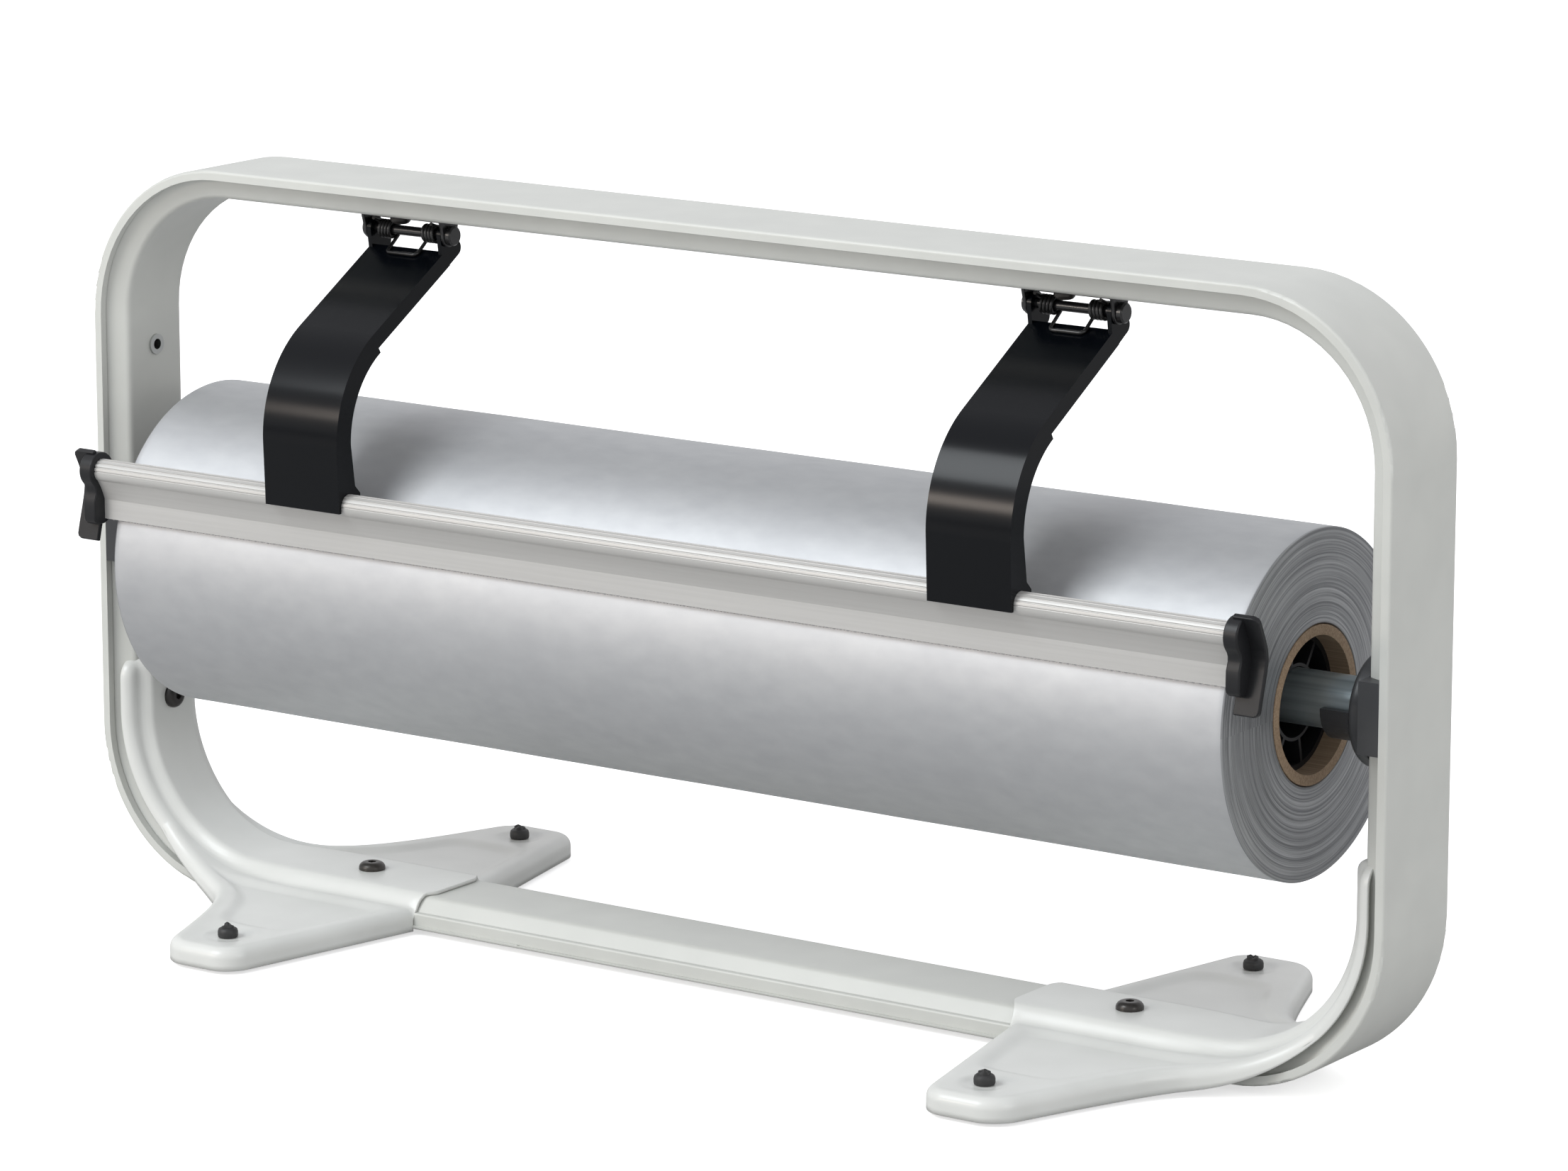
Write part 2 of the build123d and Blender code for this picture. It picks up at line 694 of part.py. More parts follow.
with BuildPart() as bearing_left:
    mirror(bearing_right.part, about=Plane.YZ)
finish(bearing_left, "bearing_left")

# ---------------------------------------------------------------- axle_tube
with BuildPart() as axle_tube:
    with BuildSketch(Plane.YZ.offset(-axle_end)):
        with Locations((0, axle_height)):
            Circle(axle_radius)
            Circle(axle_radius - axle_wall, mode=Mode.SUBTRACT)
    extrude(amount=2 * axle_end)
finish(axle_tube, "axle_tube")

# ---------------------------------------------------------------- core adapters
# Spoked plugs in the ends of the core, with a hub that hangs on the axle.
with BuildPart() as core_adapter_right:
    rim_radius = core_radius - core_wall - seat_gap
    rim_inner = rim_radius - adapter_rim_wall
    hub_radius = hub_bore_radius + hub_wall
    adapter_start = roll_length / 2 - adapter_recess - adapter_depth
    with BuildSketch(Plane.YZ.offset(adapter_start)):
        with Locations((0, roll_height)):
            Circle(rim_radius)
            Circle(rim_inner, mode=Mode.SUBTRACT)
            Circle(hub_radius)
            with PolarLocations((hub_radius + rim_inner) / 2, spoke_count, start_angle=spoke_start):
                Rectangle(rim_inner - hub_radius + 2 * spoke_sink, spoke_thickness)
            Circle(hub_bore_radius, mode=Mode.SUBTRACT)
    extrude(amount=adapter_depth)
finish(core_adapter_right, "core_adapter_right")

with BuildPart() as core_adapter_left:
    mirror(core_adapter_right.part, about=Plane.YZ)
finish(core_adapter_left, "core_adapter_left")

# ---------------------------------------------------------------- cardboard_core and wrap_roll
with BuildPart() as cardboard_core:
    with BuildSketch(Plane.YZ.offset(-roll_length / 2)):
        with Locations((0, roll_height)):
            Circle(core_radius)
            Circle(core_radius - core_wall, mode=Mode.SUBTRACT)
    extrude(amount=roll_length)
finish(cardboard_core, "cardboard_core")

with BuildPart() as wrap_roll:
    with BuildSketch(Plane.YZ.offset(-roll_length / 2)):
        with Locations((0, roll_height)):
            Circle(roll_radius)
            Circle(core_radius + seat_gap, mode=Mode.SUBTRACT)
    extrude(amount=roll_length)
finish(wrap_roll, "wrap_roll")

# ---------------------------------------------------------------- arm geometry
# The arm's face drops in front of the bar's head, bends back over the roll and runs
# straight up to pass just under the pin, which sets its slope.
arm_front = head_y - arm_front_reach
arm_tip_y = head_y - arm_tip_reach
arm_tip_z = head_z - arm_tip_drop
arm_bend_z = head_z + arm_bend_rise
arm_bend_radius = pin_z - arm_bend_z - arm_bend_headroom
arm_hook_y = head_y + arm_hook_reach
arm_hook_top = head_z + arm_hook_rise
pin_centre = Vector(0, pin_y, pin_z)
bend_centre = Vector(0, arm_front + arm_bend_radius, arm_bend_z)
pin_to_bend = bend_centre - pin_centre
bend_direction = degrees(atan2(pin_to_bend.Y, -pin_to_bend.Z))
bend_distance = hypot(pin_to_bend.Y, pin_to_bend.Z)
arm_slope = bend_direction + degrees(acos((arm_bend_radius + arm_face_drop) / bend_distance))
# Along the straight part of the arm: down and forward, and square to it towards its underside.
arm_along = Vector(0, -cos(radians(arm_slope)), -sin(radians(arm_slope)))
arm_under = Vector(0, sin(radians(arm_slope)), -cos(radians(arm_slope)))


def arm_point(along, under):
    """Gives (y, z) of a point by its distances from the pin along and under the arm."""
    point = pin_centre + arm_along * along + arm_under * under
    return (point.Y, point.Z)


def bend_point(radius):
    """Gives (y, z) where the arm's straight part meets its bend, at a radius of the bend."""
    point = bend_centre - arm_under * radius
    return (point.Y, point.Z)


def bend_arc(radius):
    """Adds the bend's arc at a radius, from its lower end to the straight part."""
    outward = (Vector(0, -1, 0) - arm_under).normalized()
    halfway = bend_centre + outward * radius
    ThreePointArc(
        (bend_centre.Y - radius, arm_bend_z), (halfway.Y, halfway.Z), bend_point(radius)
    )


# ---------------------------------------------------------------- arms
# A pressed channel: a face that bends down in front of the roll, with a flange on each side.
inner_bend = arm_bend_radius - arm_sheet
flange_bend = arm_bend_radius - arm_flange_bend
flange_under = arm_face_drop + arm_flange_straight
heel_under = flange_under - arm_heel_radius - 2 * arm_ear_sink
ear_foot_under = flange_under - arm_sheet - arm_ear_sink
flange_level_point = bend_point(arm_bend_radius - arm_flange_straight)
inner_tip_y = arm_tip_y + arm_sheet
boss_start = arm_front + arm_sheet / 2
clip_front = head_y + head_radius + seat_gap

for name, arm_x in (("arm_left", -arm_offset), ("arm_right", arm_offset)):
    with BuildPart() as arm:
        with BuildSketch(Plane.YZ.offset(arm_x)):
            with BuildLine():
                Line((arm_tip_y, arm_tip_z), (bend_centre.Y - arm_bend_radius, arm_bend_z))
                bend_arc(arm_bend_radius)
                Line(bend_point(arm_bend_radius), arm_point(arm_face_end, arm_face_drop))
                Line(arm_point(arm_face_end, arm_face_drop), arm_point(arm_face_end, flange_under))
                Line(arm_point(arm_face_end, flange_under), flange_level_point)
                Line(flange_level_point, bend_point(flange_bend))
                bend_arc(flange_bend)
                Polyline(
                    (bend_centre.Y - flange_bend, arm_bend_z),
                    (arm_hook_y - arm_hook_slant, arm_hook_top + arm_hook_slant),
                    (arm_hook_y, arm_hook_top),
                    (arm_hook_y, arm_tip_z),
                    (arm_tip_y, arm_tip_z),
                )
            make_face()
        extrude(amount=arm_width / 2, both=True)
        # The hollow between the flanges.
        with BuildSketch(Plane.YZ.offset(arm_x)):
            with BuildLine():
                Line((inner_tip_y, arm_tip_z - cut_margin), (bend_centre.Y - inner_bend, arm_bend_z))
                bend_arc(inner_bend)
                Line(bend_point(inner_bend), arm_point(0, arm_face_drop + arm_sheet))
                Polyline(
                    arm_point(0, arm_face_drop + arm_sheet),
                    arm_point(0, 2 * flange_under),
                    arm_point(arm_bend_radius, 2 * flange_under),
                    (arm_hook_y + arm_sheet, arm_bend_z),
                    (arm_hook_y + arm_sheet, arm_tip_z - cut_margin),
                    (inner_tip_y, arm_tip_z - cut_margin),
                )
            make_face()
        extrude(amount=arm_width / 2 - arm_flange_sheet, both=True, mode=Mode.SUBTRACT)
        # The ears round the pin, with a heel behind it.
        for side in (1, -1):
            with BuildSketch(Plane.YZ.offset(arm_x + side * arm_width / 2)):
                with Locations((pin_y, pin_z)):
                    Circle(arm_ear_radius)
                with Locations(arm_point(-arm_heel_shift, heel_under)):
                    Circle(arm_heel_radius)
                with Locations(arm_point(arm_face_end + arm_heel_shift, ear_foot_under)):
                    Circle(arm_sheet)
                make_hull()
            extrude(amount=-side * arm_flange_sheet)
        # The slot in each flange that drops over the cutter bar's head.
        with BuildSketch(Plane.YZ.offset(arm_x)):
            with Locations((head_y, head_z)):
                Circle(head_radius + seat_gap)
            with Locations((head_y, head_z - head_radius)):
                Rectangle(2 * (head_radius + seat_gap), 2 * head_radius)
        extrude(amount=arm_width, both=True, mode=Mode.SUBTRACT)
        with BuildSketch(Plane.YZ.offset(arm_x)):
            with Locations((pin_y, pin_z)):
                Circle(pin_radius + pin_play)
        extrude(amount=arm_width, both=True, mode=Mode.SUBTRACT)
        # The boss behind the face that takes the clip's screw.
        with BuildSketch(facing_plane(arm_x, boss_start, clip_screw_z, (0, 1, 0))):
            Circle(boss_radius)
        extrude(amount=clip_front - boss_start)
        with BuildSketch(facing_plane(arm_x, clip_front, clip_screw_z, (0, -1, 0))):
            Circle(clip_screw_radius + seat_gap)
        extrude(amount=clip_screw_length, mode=Mode.SUBTRACT)
    finish(arm, name)

# ---------------------------------------------------------------- hinge brackets
# A plate under the top rail with an ear outside each of the arm's ears.
ear_inner = arm_width / 2 + side_play
ear_outer = ear_inner + bracket_sheet
for name, arm_x in (("hinge_bracket_left", -arm_offset), ("hinge_bracket_right", arm_offset)):
    with BuildPart() as hinge_bracket:
        with BuildSketch(Plane.YZ.offset(arm_x)):
            with BuildLine():
                Polyline(
                    (bracket_back, bracket_ceiling),
                    (bracket_front, bracket_ceiling),
                    (bracket_front, bracket_floor),
                )
                Spline(
                    (bracket_front, bracket_floor),
                    (pin_y - bracket_ear_radius, pin_z),
                    tangents=((0.3, -1), (0.1, -1)),
                )
                ThreePointArc(
                    (pin_y - bracket_ear_radius, pin_z),
                    (pin_y, pin_z - bracket_ear_radius),
                    (pin_y + bracket_ear_radius, pin_z),
                )
                Line((pin_y + bracket_ear_radius, pin_z), (bracket_back, bracket_ceiling))
            make_face()
        extrude(amount=ear_outer, both=True)
        with BuildSketch(Plane.YZ.offset(arm_x)):
            with Locations(((bracket_front + bracket_back) / 2, bracket_floor - bracket_ear_radius * 2)):
                Rectangle(
                    2 * (bracket_back - bracket_front), 4 * bracket_ear_radius
                )
        extrude(amount=ear_inner, both=True, mode=Mode.SUBTRACT)
        with BuildSketch(Plane.YZ.offset(arm_x)):
            with Locations((pin_y, pin_z)):
                Circle(pin_radius + seat_gap)
        extrude(amount=arm_width, both=True, mode=Mode.SUBTRACT)
        screw_x = arm_x + bracket_screw_shift
        with BuildSketch(facing_plane(screw_x, bracket_screw_y, bracket_floor - cut_margin, (0, 0, 1))):
            Circle(screw_radius + seat_gap)
        extrude(amount=2 * bracket_sheet + cut_margin, mode=Mode.SUBTRACT)
    finish(hinge_bracket, name)

# ---------------------------------------------------------------- bracket_screws
with BuildPart() as bracket_screws:
    screw_grip = bracket_sheet + sheet + 3 * seat_gap + screw_nut_height
    for side in (1, -1):
        screw_x = side * arm_offset + bracket_screw_shift
        screw_plane = facing_plane(
            screw_x, bracket_screw_y, bracket_floor - seat_gap, (0, 0, -1)
        )
        dome_screw(
            screw_plane, screw_head_radius, screw_head_height, screw_radius, screw_grip, bolt_socket
        )
finish(bracket_screws, "bracket_screws")

# ---------------------------------------------------------------- hinge pins and their clips
for name, arm_x in (("hinge_pin_left", -arm_offset), ("hinge_pin_right", arm_offset)):
    with BuildPart() as hinge_pin:
        with BuildSketch(Plane.YZ.offset(arm_x - ear_outer - clip_thickness - pin_end)):
            with Locations((pin_y, pin_z)):
                Circle(pin_radius)
        extrude(amount=2 * ear_outer + clip_thickness + pin_end + seat_gap)
        with BuildSketch(Plane.YZ.offset(arm_x + ear_outer + seat_gap)):
            with Locations((pin_y, pin_z)):
                Circle(pin_head_radius)
        extrude(amount=pin_head_height)
        chamfer(hinge_pin.edges().sort_by(Axis.X)[-1], length=pin_head_height / 4)
    finish(hinge_pin, name)

with BuildPart() as pin_clips:
    for side in (1, -1):
        clip_end = side * arm_offset - ear_outer - seat_gap
        with BuildSketch(Plane.YZ.offset(clip_end)):
            with Locations((pin_y, pin_z)):
                Circle(clip_radius)
                Circle(pin_radius + seat_gap, mode=Mode.SUBTRACT)
        extrude(amount=-clip_thickness)
finish(pin_clips, "pin_clips")

# ---------------------------------------------------------------- torsion springs
# Two coils on the pin, joined by a U that presses on the arm's face. Their tails
# press against the bracket's plate.
spring_under = arm_face_drop - wire_radius - seat_gap
coil_turns = coil_full_turns + (180 - arm_slope) / 360
coil_length = coil_turns * coil_pitch
tail_level = bracket_floor - wire_radius - seat_gap
for name, arm_x in (("torsion_spring_left", -arm_offset), ("torsion_spring_right", arm_offset)):
    with BuildPart() as torsion_spring:
        with BuildLine() as wire_line:
            leg_points = []
            for end in (1, -1):
                coil_origin = Vector(arm_x + end * spring_half, pin_y, pin_z)
                coil_plane = Plane(origin=coil_origin, x_dir=arm_under, z_dir=(end, 0, 0))
                coil = coil_plane * Helix(
                    coil_pitch, coil_length, coil_radius, lefthand=end < 0, mode=Mode.PRIVATE
                )
                add(coil)
                tail_bend = coil @ 1 + (coil % 1) * wire_straight
                tail_tip = Vector(tail_bend.X, bracket_front + wire_radius, tail_level)
                FilletPolyline(coil @ 1, tail_bend, tail_tip, radius=wire_bend)
                leg_bend = coil @ 0 - (coil % 0) * wire_straight
                leg_foot = coil_origin + arm_under * spring_under + arm_along * spring_reach
                leg_points.append((coil @ 0, leg_bend, leg_foot))
            right_leg, left_leg = leg_points
            FilletPolyline(
                *right_leg,
                *reversed(left_leg),
                radius=[wire_bend, spring_corner, spring_corner, wire_bend],
            )
        wire = wire_line.wires()[0]
        with BuildSketch(Plane(origin=wire @ 0, z_dir=wire % 0)):
            Circle(wire_radius)
        sweep(path=wire)
    finish(torsion_spring, name)

# ---------------------------------------------------------------- cutter_bar
# An extrusion with a ridged head, a hollowed front and a slot for the blade.
web_angle = radians(web_direction)
web_top = (head_y + head_radius * cos(web_angle), head_z + head_radius * sin(web_angle))
web_back = bar_wall / cos(radians(arm_slope))
slot_front = crease_y + slot_wall
slot_width = blade_thickness + 2 * seat_gap
slot_back = slot_front + slot_width
lip_back = slot_back + slot_wall
hollow_middle = (
    (web_top[0] + crease_y) / 2 + bar_hollow,
    (web_top[1] + crease_z) / 2 + bar_hollow / 2,
)
with BuildPart() as cutter_bar:
    with BuildSketch(Plane.YZ.offset(-bar_length / 2)):
        with BuildLine():
            ThreePointArc(web_top, hollow_middle, (crease_y, crease_z))
            Polyline(
                (crease_y, crease_z),
                (crease_y, bar_bottom),
                (slot_front, bar_bottom),
                (slot_front, slot_top),
                (slot_back, slot_top),
                (slot_back, slot_bottom),
                (lip_back, slot_bottom),
                (lip_back, crease_z + bar_wall),
            )
            ThreePointArc(
                (lip_back, crease_z + bar_wall),
                (hollow_middle[0] + web_back, hollow_middle[1] + web_back / 2),
                (web_top[0] + web_back, web_top[1] + web_back / 2),
            )
            Line((web_top[0] + web_back, web_top[1] + web_back / 2), web_top)
        make_face()
        with Locations((head_y, head_z)):
            Circle(head_radius)
            Circle(head_bore, mode=Mode.SUBTRACT)
            groove_span = (groove_count - 1) * groove_step
            with PolarLocations(
                head_radius, groove_count, start_angle=90, angular_range=groove_span, endpoint=True
            ):
                Circle(groove_radius, mode=Mode.SUBTRACT)
    extrude(amount=bar_length)
finish(cutter_bar, "cutter_bar")

# ---------------------------------------------------------------- serrated_blade
# A thin strip in the bar's slot, with saw teeth along its lower edge.
tooth_count = int(blade_length / tooth_pitch)
toothed_length = tooth_count * tooth_pitch
teeth = [(-toothed_length / 2, blade_tip + blade_tooth)]
for tooth in range(tooth_count):
    tooth_x = -toothed_length / 2 + tooth * tooth_pitch
    teeth.append((tooth_x + tooth_pitch / 2, blade_tip))
    teeth.append((tooth_x + tooth_pitch, blade_tip + blade_tooth))
with BuildPart() as serrated_blade:
    with BuildSketch(Plane.XZ.offset(-slot_front - seat_gap)):
        with BuildLine():
            Polyline(
                *teeth,
                (blade_length / 2, blade_tip + blade_tooth),
                (blade_length / 2, blade_top),
                (-blade_length / 2, blade_top),
                (-blade_length / 2, blade_tip + blade_tooth),
                close=True,
            )
        make_face()
    extrude(amount=-blade_thickness)
finish(serrated_blade, "serrated_blade")

# ---------------------------------------------------------------- end caps
# A cap over each end of the bar, with a peg in the head's bore and a wing behind it.
cap_start = bar_length / 2 - cap_grip
cap_pad_bottom = head_z - cap_pad_drop
cap_pad_top = cap_pad_bottom + cap_pad_height
wing_corners = (
    wing_top_front,
    wing_top_back,
    wing_back_high,
    wing_back_low,
    wing_foot_back,
    wing_foot_front,
)
with BuildPart() as end_cap_right:
    with BuildSketch(Plane.YZ.offset(cap_start)) as cap_plan:
        with Locations((head_y, head_z)):
            Circle(cap_radius)
        with BuildLine():
            Polyline(
                (head_y - cap_radius * cos(radians(arm_slope)), head_z - cap_radius / 2),
                (head_y - cap_waist, cap_pad_top),
                (head_y - cap_pad_half, cap_pad_top - cap_chamfer),
                (head_y - cap_pad_half, cap_pad_bottom),
                (head_y + cap_pad_half, cap_pad_bottom),
                (head_y + cap_pad_half, head_z),
                close=True,
            )
        make_face()
    extrude(amount=cap_length)
    with BuildSketch(Plane.YZ.offset(cap_start)):
        with Locations((head_y, head_z)):
            Circle(head_radius + seat_gap)
        for corner_y, corner_level in (
            (crease_y, bar_bottom),
            (lip_back, crease_z + bar_wall),
            (lip_back, bar_bottom),
            web_top,
        ):
            with Locations((corner_y, corner_level)):
                Circle(seat_gap)
        make_hull()
    extrude(amount=bar_length / 2 - cap_start + seat_gap, mode=Mode.SUBTRACT)
    with BuildSketch(Plane.YZ.offset(cap_start + cap_length)):
        with Locations((head_y, head_z)):
            Circle(head_bore - seat_gap)
    extrude(amount=-peg_length)
    with BuildSketch(Plane.YZ.offset(cap_start + cap_length)) as wing_plan:
        with BuildLine():
            wing_outline = [
                (head_y + back, head_z + up) for back, up in wing_corners
            ]
            Polyline(*wing_outline, (head_y - cap_waist, cap_pad_top), close=True)
        make_face()
        fillet(wing_plan.vertices(), radius=wing_round)
    extrude(amount=wing_thickness)
finish(end_cap_right, "end_cap_right")

with BuildPart() as end_cap_left:
    mirror(end_cap_right.part, about=Plane.YZ)
finish(end_cap_left, "end_cap_left")

# ---------------------------------------------------------------- bar_clips and clip_screws
# Steel clips that hold the bar's head against the arms from behind.
with BuildPart() as bar_clips:
    for side in (1, -1):
        with BuildSketch(Plane.YZ.offset(side * arm_offset)):
            with BuildLine():
                Polyline(
                    (clip_front, clip_top),
                    (clip_front, clip_bottom + clip_sheet),
                    (clip_front - clip_lip, clip_bottom + clip_sheet),
                    (clip_front - clip_lip, clip_bottom),
                    (clip_front + clip_sheet, clip_bottom),
                    (clip_front + clip_sheet, clip_top),
                    close=True,
                )
            make_face()
        extrude(amount=clip_width / 2, both=True)
        with BuildSketch(facing_plane(side * arm_offset, clip_front, clip_screw_z, (0, 1, 0))):
            Circle(clip_screw_radius + seat_gap)
        extrude(amount=2 * clip_sheet, both=True, mode=Mode.SUBTRACT)
finish(bar_clips, "bar_clips")

with BuildPart() as clip_screws:
    for side in (1, -1):
        clip_back = clip_front + clip_sheet + seat_gap
        screw_plane = facing_plane(side * arm_offset, clip_back, clip_screw_z, (0, 1, 0))
        dome_screw(
            screw_plane,
            clip_screw_head,
            clip_screw_head_height,
            clip_screw_radius,
            clip_screw_length,
            clip_screw_radius,
        )
finish(clip_screws, "clip_screws")
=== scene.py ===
import logging
import math
from dataclasses import dataclass, field
from enum import Enum

import bpy
import numpy as np
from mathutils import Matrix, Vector


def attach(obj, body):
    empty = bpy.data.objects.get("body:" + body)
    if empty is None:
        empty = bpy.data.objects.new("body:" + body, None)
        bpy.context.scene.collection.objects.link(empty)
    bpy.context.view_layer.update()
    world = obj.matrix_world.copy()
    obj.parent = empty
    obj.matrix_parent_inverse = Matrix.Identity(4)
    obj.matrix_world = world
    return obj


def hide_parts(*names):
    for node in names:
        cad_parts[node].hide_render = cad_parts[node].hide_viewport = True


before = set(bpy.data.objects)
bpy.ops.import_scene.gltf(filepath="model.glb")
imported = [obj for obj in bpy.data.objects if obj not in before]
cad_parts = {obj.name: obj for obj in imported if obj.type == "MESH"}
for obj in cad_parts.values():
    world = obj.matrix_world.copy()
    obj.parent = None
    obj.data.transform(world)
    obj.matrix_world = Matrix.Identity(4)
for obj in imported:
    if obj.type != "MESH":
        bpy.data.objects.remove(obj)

log = logging.getLogger("paper_cutter")

MM = 0.001
EDGE_STEPS = np.array([0.0, 0.12, 0.4, 0.85, 1.5, 2.4, 3.6, 5.2])  # grid steps beside a free edge
ROLL_AXIS = 139.2  # the height of the roll's axis, in millimetres
TOLERANCE = 0.01
WELD_REACH = 0.002  # vertices closer than this, in millimetres, are joined before rounding
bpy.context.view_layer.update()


class Body(str, Enum):
    """The CAD bodies that pieces ride on."""

    STAND = "stand"
    CUTTER = "cutter"
    ROLL = "roll"


class Pattern(Enum):
    """How a finish varies over its surface."""

    SPECKLE = "speckle"
    STREAK_X = "streaks along the roll"
    MOTTLE = "soft mottling"
    RINGS = "rings of wound layers"


# ---------------------------------------------------------------- shader nodes
Colour = tuple[float, float, float]


def add_node(
    tree: bpy.types.NodeTree, kind: str, inputs: dict[str, object] | None = None, **settings: object
) -> bpy.types.Node:
    """Adds a node to a tree.

    Args:
        tree: The tree.
        kind: Blender's name of the node's type.
        inputs: Values of its sockets, by name.
        settings: Its properties, which are set before the sockets.

    Returns:
        The node.
    """
    made = tree.nodes.new(kind)
    for key, value in settings.items():
        setattr(made, key, value)
    for name, value in (inputs or {}).items():
        made.inputs[name].default_value = value
    return made


def add_ramp(
    tree: bpy.types.NodeTree, low: tuple[float, Colour], high: tuple[float, Colour]
) -> bpy.types.Node:
    """Adds a ramp between two colours.

    Args:
        tree: The tree.
        low: The first colour's position and the colour.
        high: The second colour's position and the colour.

    Returns:
        The ramp.
    """
    ramp = add_node(tree, "ShaderNodeValToRGB")
    for element, (position, colour) in zip(ramp.color_ramp.elements, (low, high)):
        element.position = position
        element.color = (*colour, 1.0)
    return ramp


@dataclass
class GroupBuilder:
    """Makes a shader node group and wires its nodes.

    Args:
        name: The group's name.
        inputs: Names and default values of its number sockets.
        outputs: Names of its number outputs.
    """

    name: str
    inputs: dict[str, float]
    outputs: tuple[str, ...]
    tree: bpy.types.NodeTree = field(init=False)
    source: bpy.types.Node = field(init=False)
    sink: bpy.types.Node = field(init=False)

    def __post_init__(self) -> None:
        """Creates the tree with its sockets."""
        self.tree = bpy.data.node_groups.new(self.name, "ShaderNodeTree")
        add_socket = self.tree.interface.new_socket
        for name, value in self.inputs.items():
            socket = add_socket(name=name, in_out="INPUT", socket_type="NodeSocketFloat")
            socket.default_value = value
        for name in self.outputs:
            add_socket(name=name, in_out="OUTPUT", socket_type="NodeSocketFloat")
        self.source = self.tree.nodes.new("NodeGroupInput")
        self.sink = self.tree.nodes.new("NodeGroupOutput")

    def link(self, start: bpy.types.NodeSocket, end: bpy.types.NodeSocket) -> None:
        """Joins two sockets."""
        self.tree.links.new(start, end)

    def math(self, operation: str, first: object, second: object) -> bpy.types.NodeSocket:
        """Adds a math node on two sockets or numbers.

        Args:
            operation: The Blender name of the operation.
            first: A socket or a number.
            second: A socket or a number.

        Returns:
            The node's output socket.
        """
        made = add_node(self.tree, "ShaderNodeMath", operation=operation)
        for index, value in enumerate((first, second)):
            if isinstance(value, bpy.types.NodeSocket):
                self.link(value, made.inputs[index])
            else:
                made.inputs[index].default_value = value
        return made.outputs[0]

    def stretched_noise(self, stretch: tuple[float, float, float], detail: float) -> bpy.types.NodeSocket:
        """Adds noise on the object's own coordinates, stretched along its axes.

        Args:
            stretch: Factors of the scale along X, Y and Z.
            detail: The noise's detail.

        Returns:
            The noise's value.
        """
        coordinates = add_node(self.tree, "ShaderNodeTexCoord")
        mapping = add_node(self.tree, "ShaderNodeMapping", {"Scale": stretch})
        noise = add_node(self.tree, "ShaderNodeTexNoise", {"Detail": detail})
        self.link(coordinates.outputs["Object"], mapping.inputs["Vector"])
        self.link(mapping.outputs["Vector"], noise.inputs["Vector"])
        self.link(self.source.outputs["Scale"], noise.inputs["Scale"])
        return noise.outputs[0]

    def pattern(self, shade: bpy.types.NodeSocket, height: bpy.types.NodeSocket) -> bpy.types.NodeTree:
        """Spreads the shade by the Contrast and joins both values to the outputs.

        Args:
            shade: The value of the colour's pattern.
            height: The value of the relief.

        Returns:
            The finished group, with outputs Shade and Height, both about 0 to 1.
        """
        centred = self.math("SUBTRACT", shade, 0.5)
        scaled = self.math("MULTIPLY", centred, self.source.outputs["Contrast"])
        self.link(self.math("ADD", scaled, 0.5), self.sink.inputs["Shade"])
        self.link(height, self.sink.inputs["Height"])
        return self.tree


PATTERN_INPUTS = {"Scale": 900.0, "Contrast": 1.0}
PATTERN_OUTPUTS = ("Shade", "Height")
SOILING_START = 0.42  # the noise value from which marks show
SOILING_GAIN = 3.0
RING_TWIST = 0.35  # how much the rings' noise changes round the axis


def speckle_group() -> bpy.types.NodeTree:
    """Builds the fine orange peel of a sprayed or moulded skin.

    Returns:
        The group.
    """
    group = GroupBuilder("sprayed_skin", PATTERN_INPUTS, PATTERN_OUTPUTS)
    fine = group.stretched_noise((1.0, 1.0, 1.0), 3.0)
    broad = group.stretched_noise((0.03, 0.03, 0.03), 2.0)
    return group.pattern(broad, fine)


def streak_group(name: str, stretch: tuple[float, float, float]) -> bpy.types.NodeTree:
    """Builds the lengthwise lines that drawing or rolling leaves.

    Args:
        name: The group's name.
        stretch: Factors that make the noise long in one direction.

    Returns:
        The group.
    """
    group = GroupBuilder(name, PATTERN_INPUTS, PATTERN_OUTPUTS)
    lines = group.stretched_noise(stretch, 4.0)
    return group.pattern(lines, lines)


def soiling_group() -> bpy.types.NodeTree:
    """Builds the broad, faint patches that handling and dust leave.

    Returns:
        A group with one output, Mask, from 0 to 1.
    """
    group = GroupBuilder("handling_marks", {"Scale": 14.0, "Amount": 1.0}, ("Mask",))
    patches = group.stretched_noise((1.0, 1.0, 1.0), 6.0)
    lifted = group.math("SUBTRACT", patches, SOILING_START)
    spread = group.math("MULTIPLY", lifted, SOILING_GAIN)
    spread.node.use_clamp = True
    mask = group.math("MULTIPLY", spread, group.source.outputs["Amount"])
    group.link(mask, group.sink.inputs["Mask"])
    return group.tree


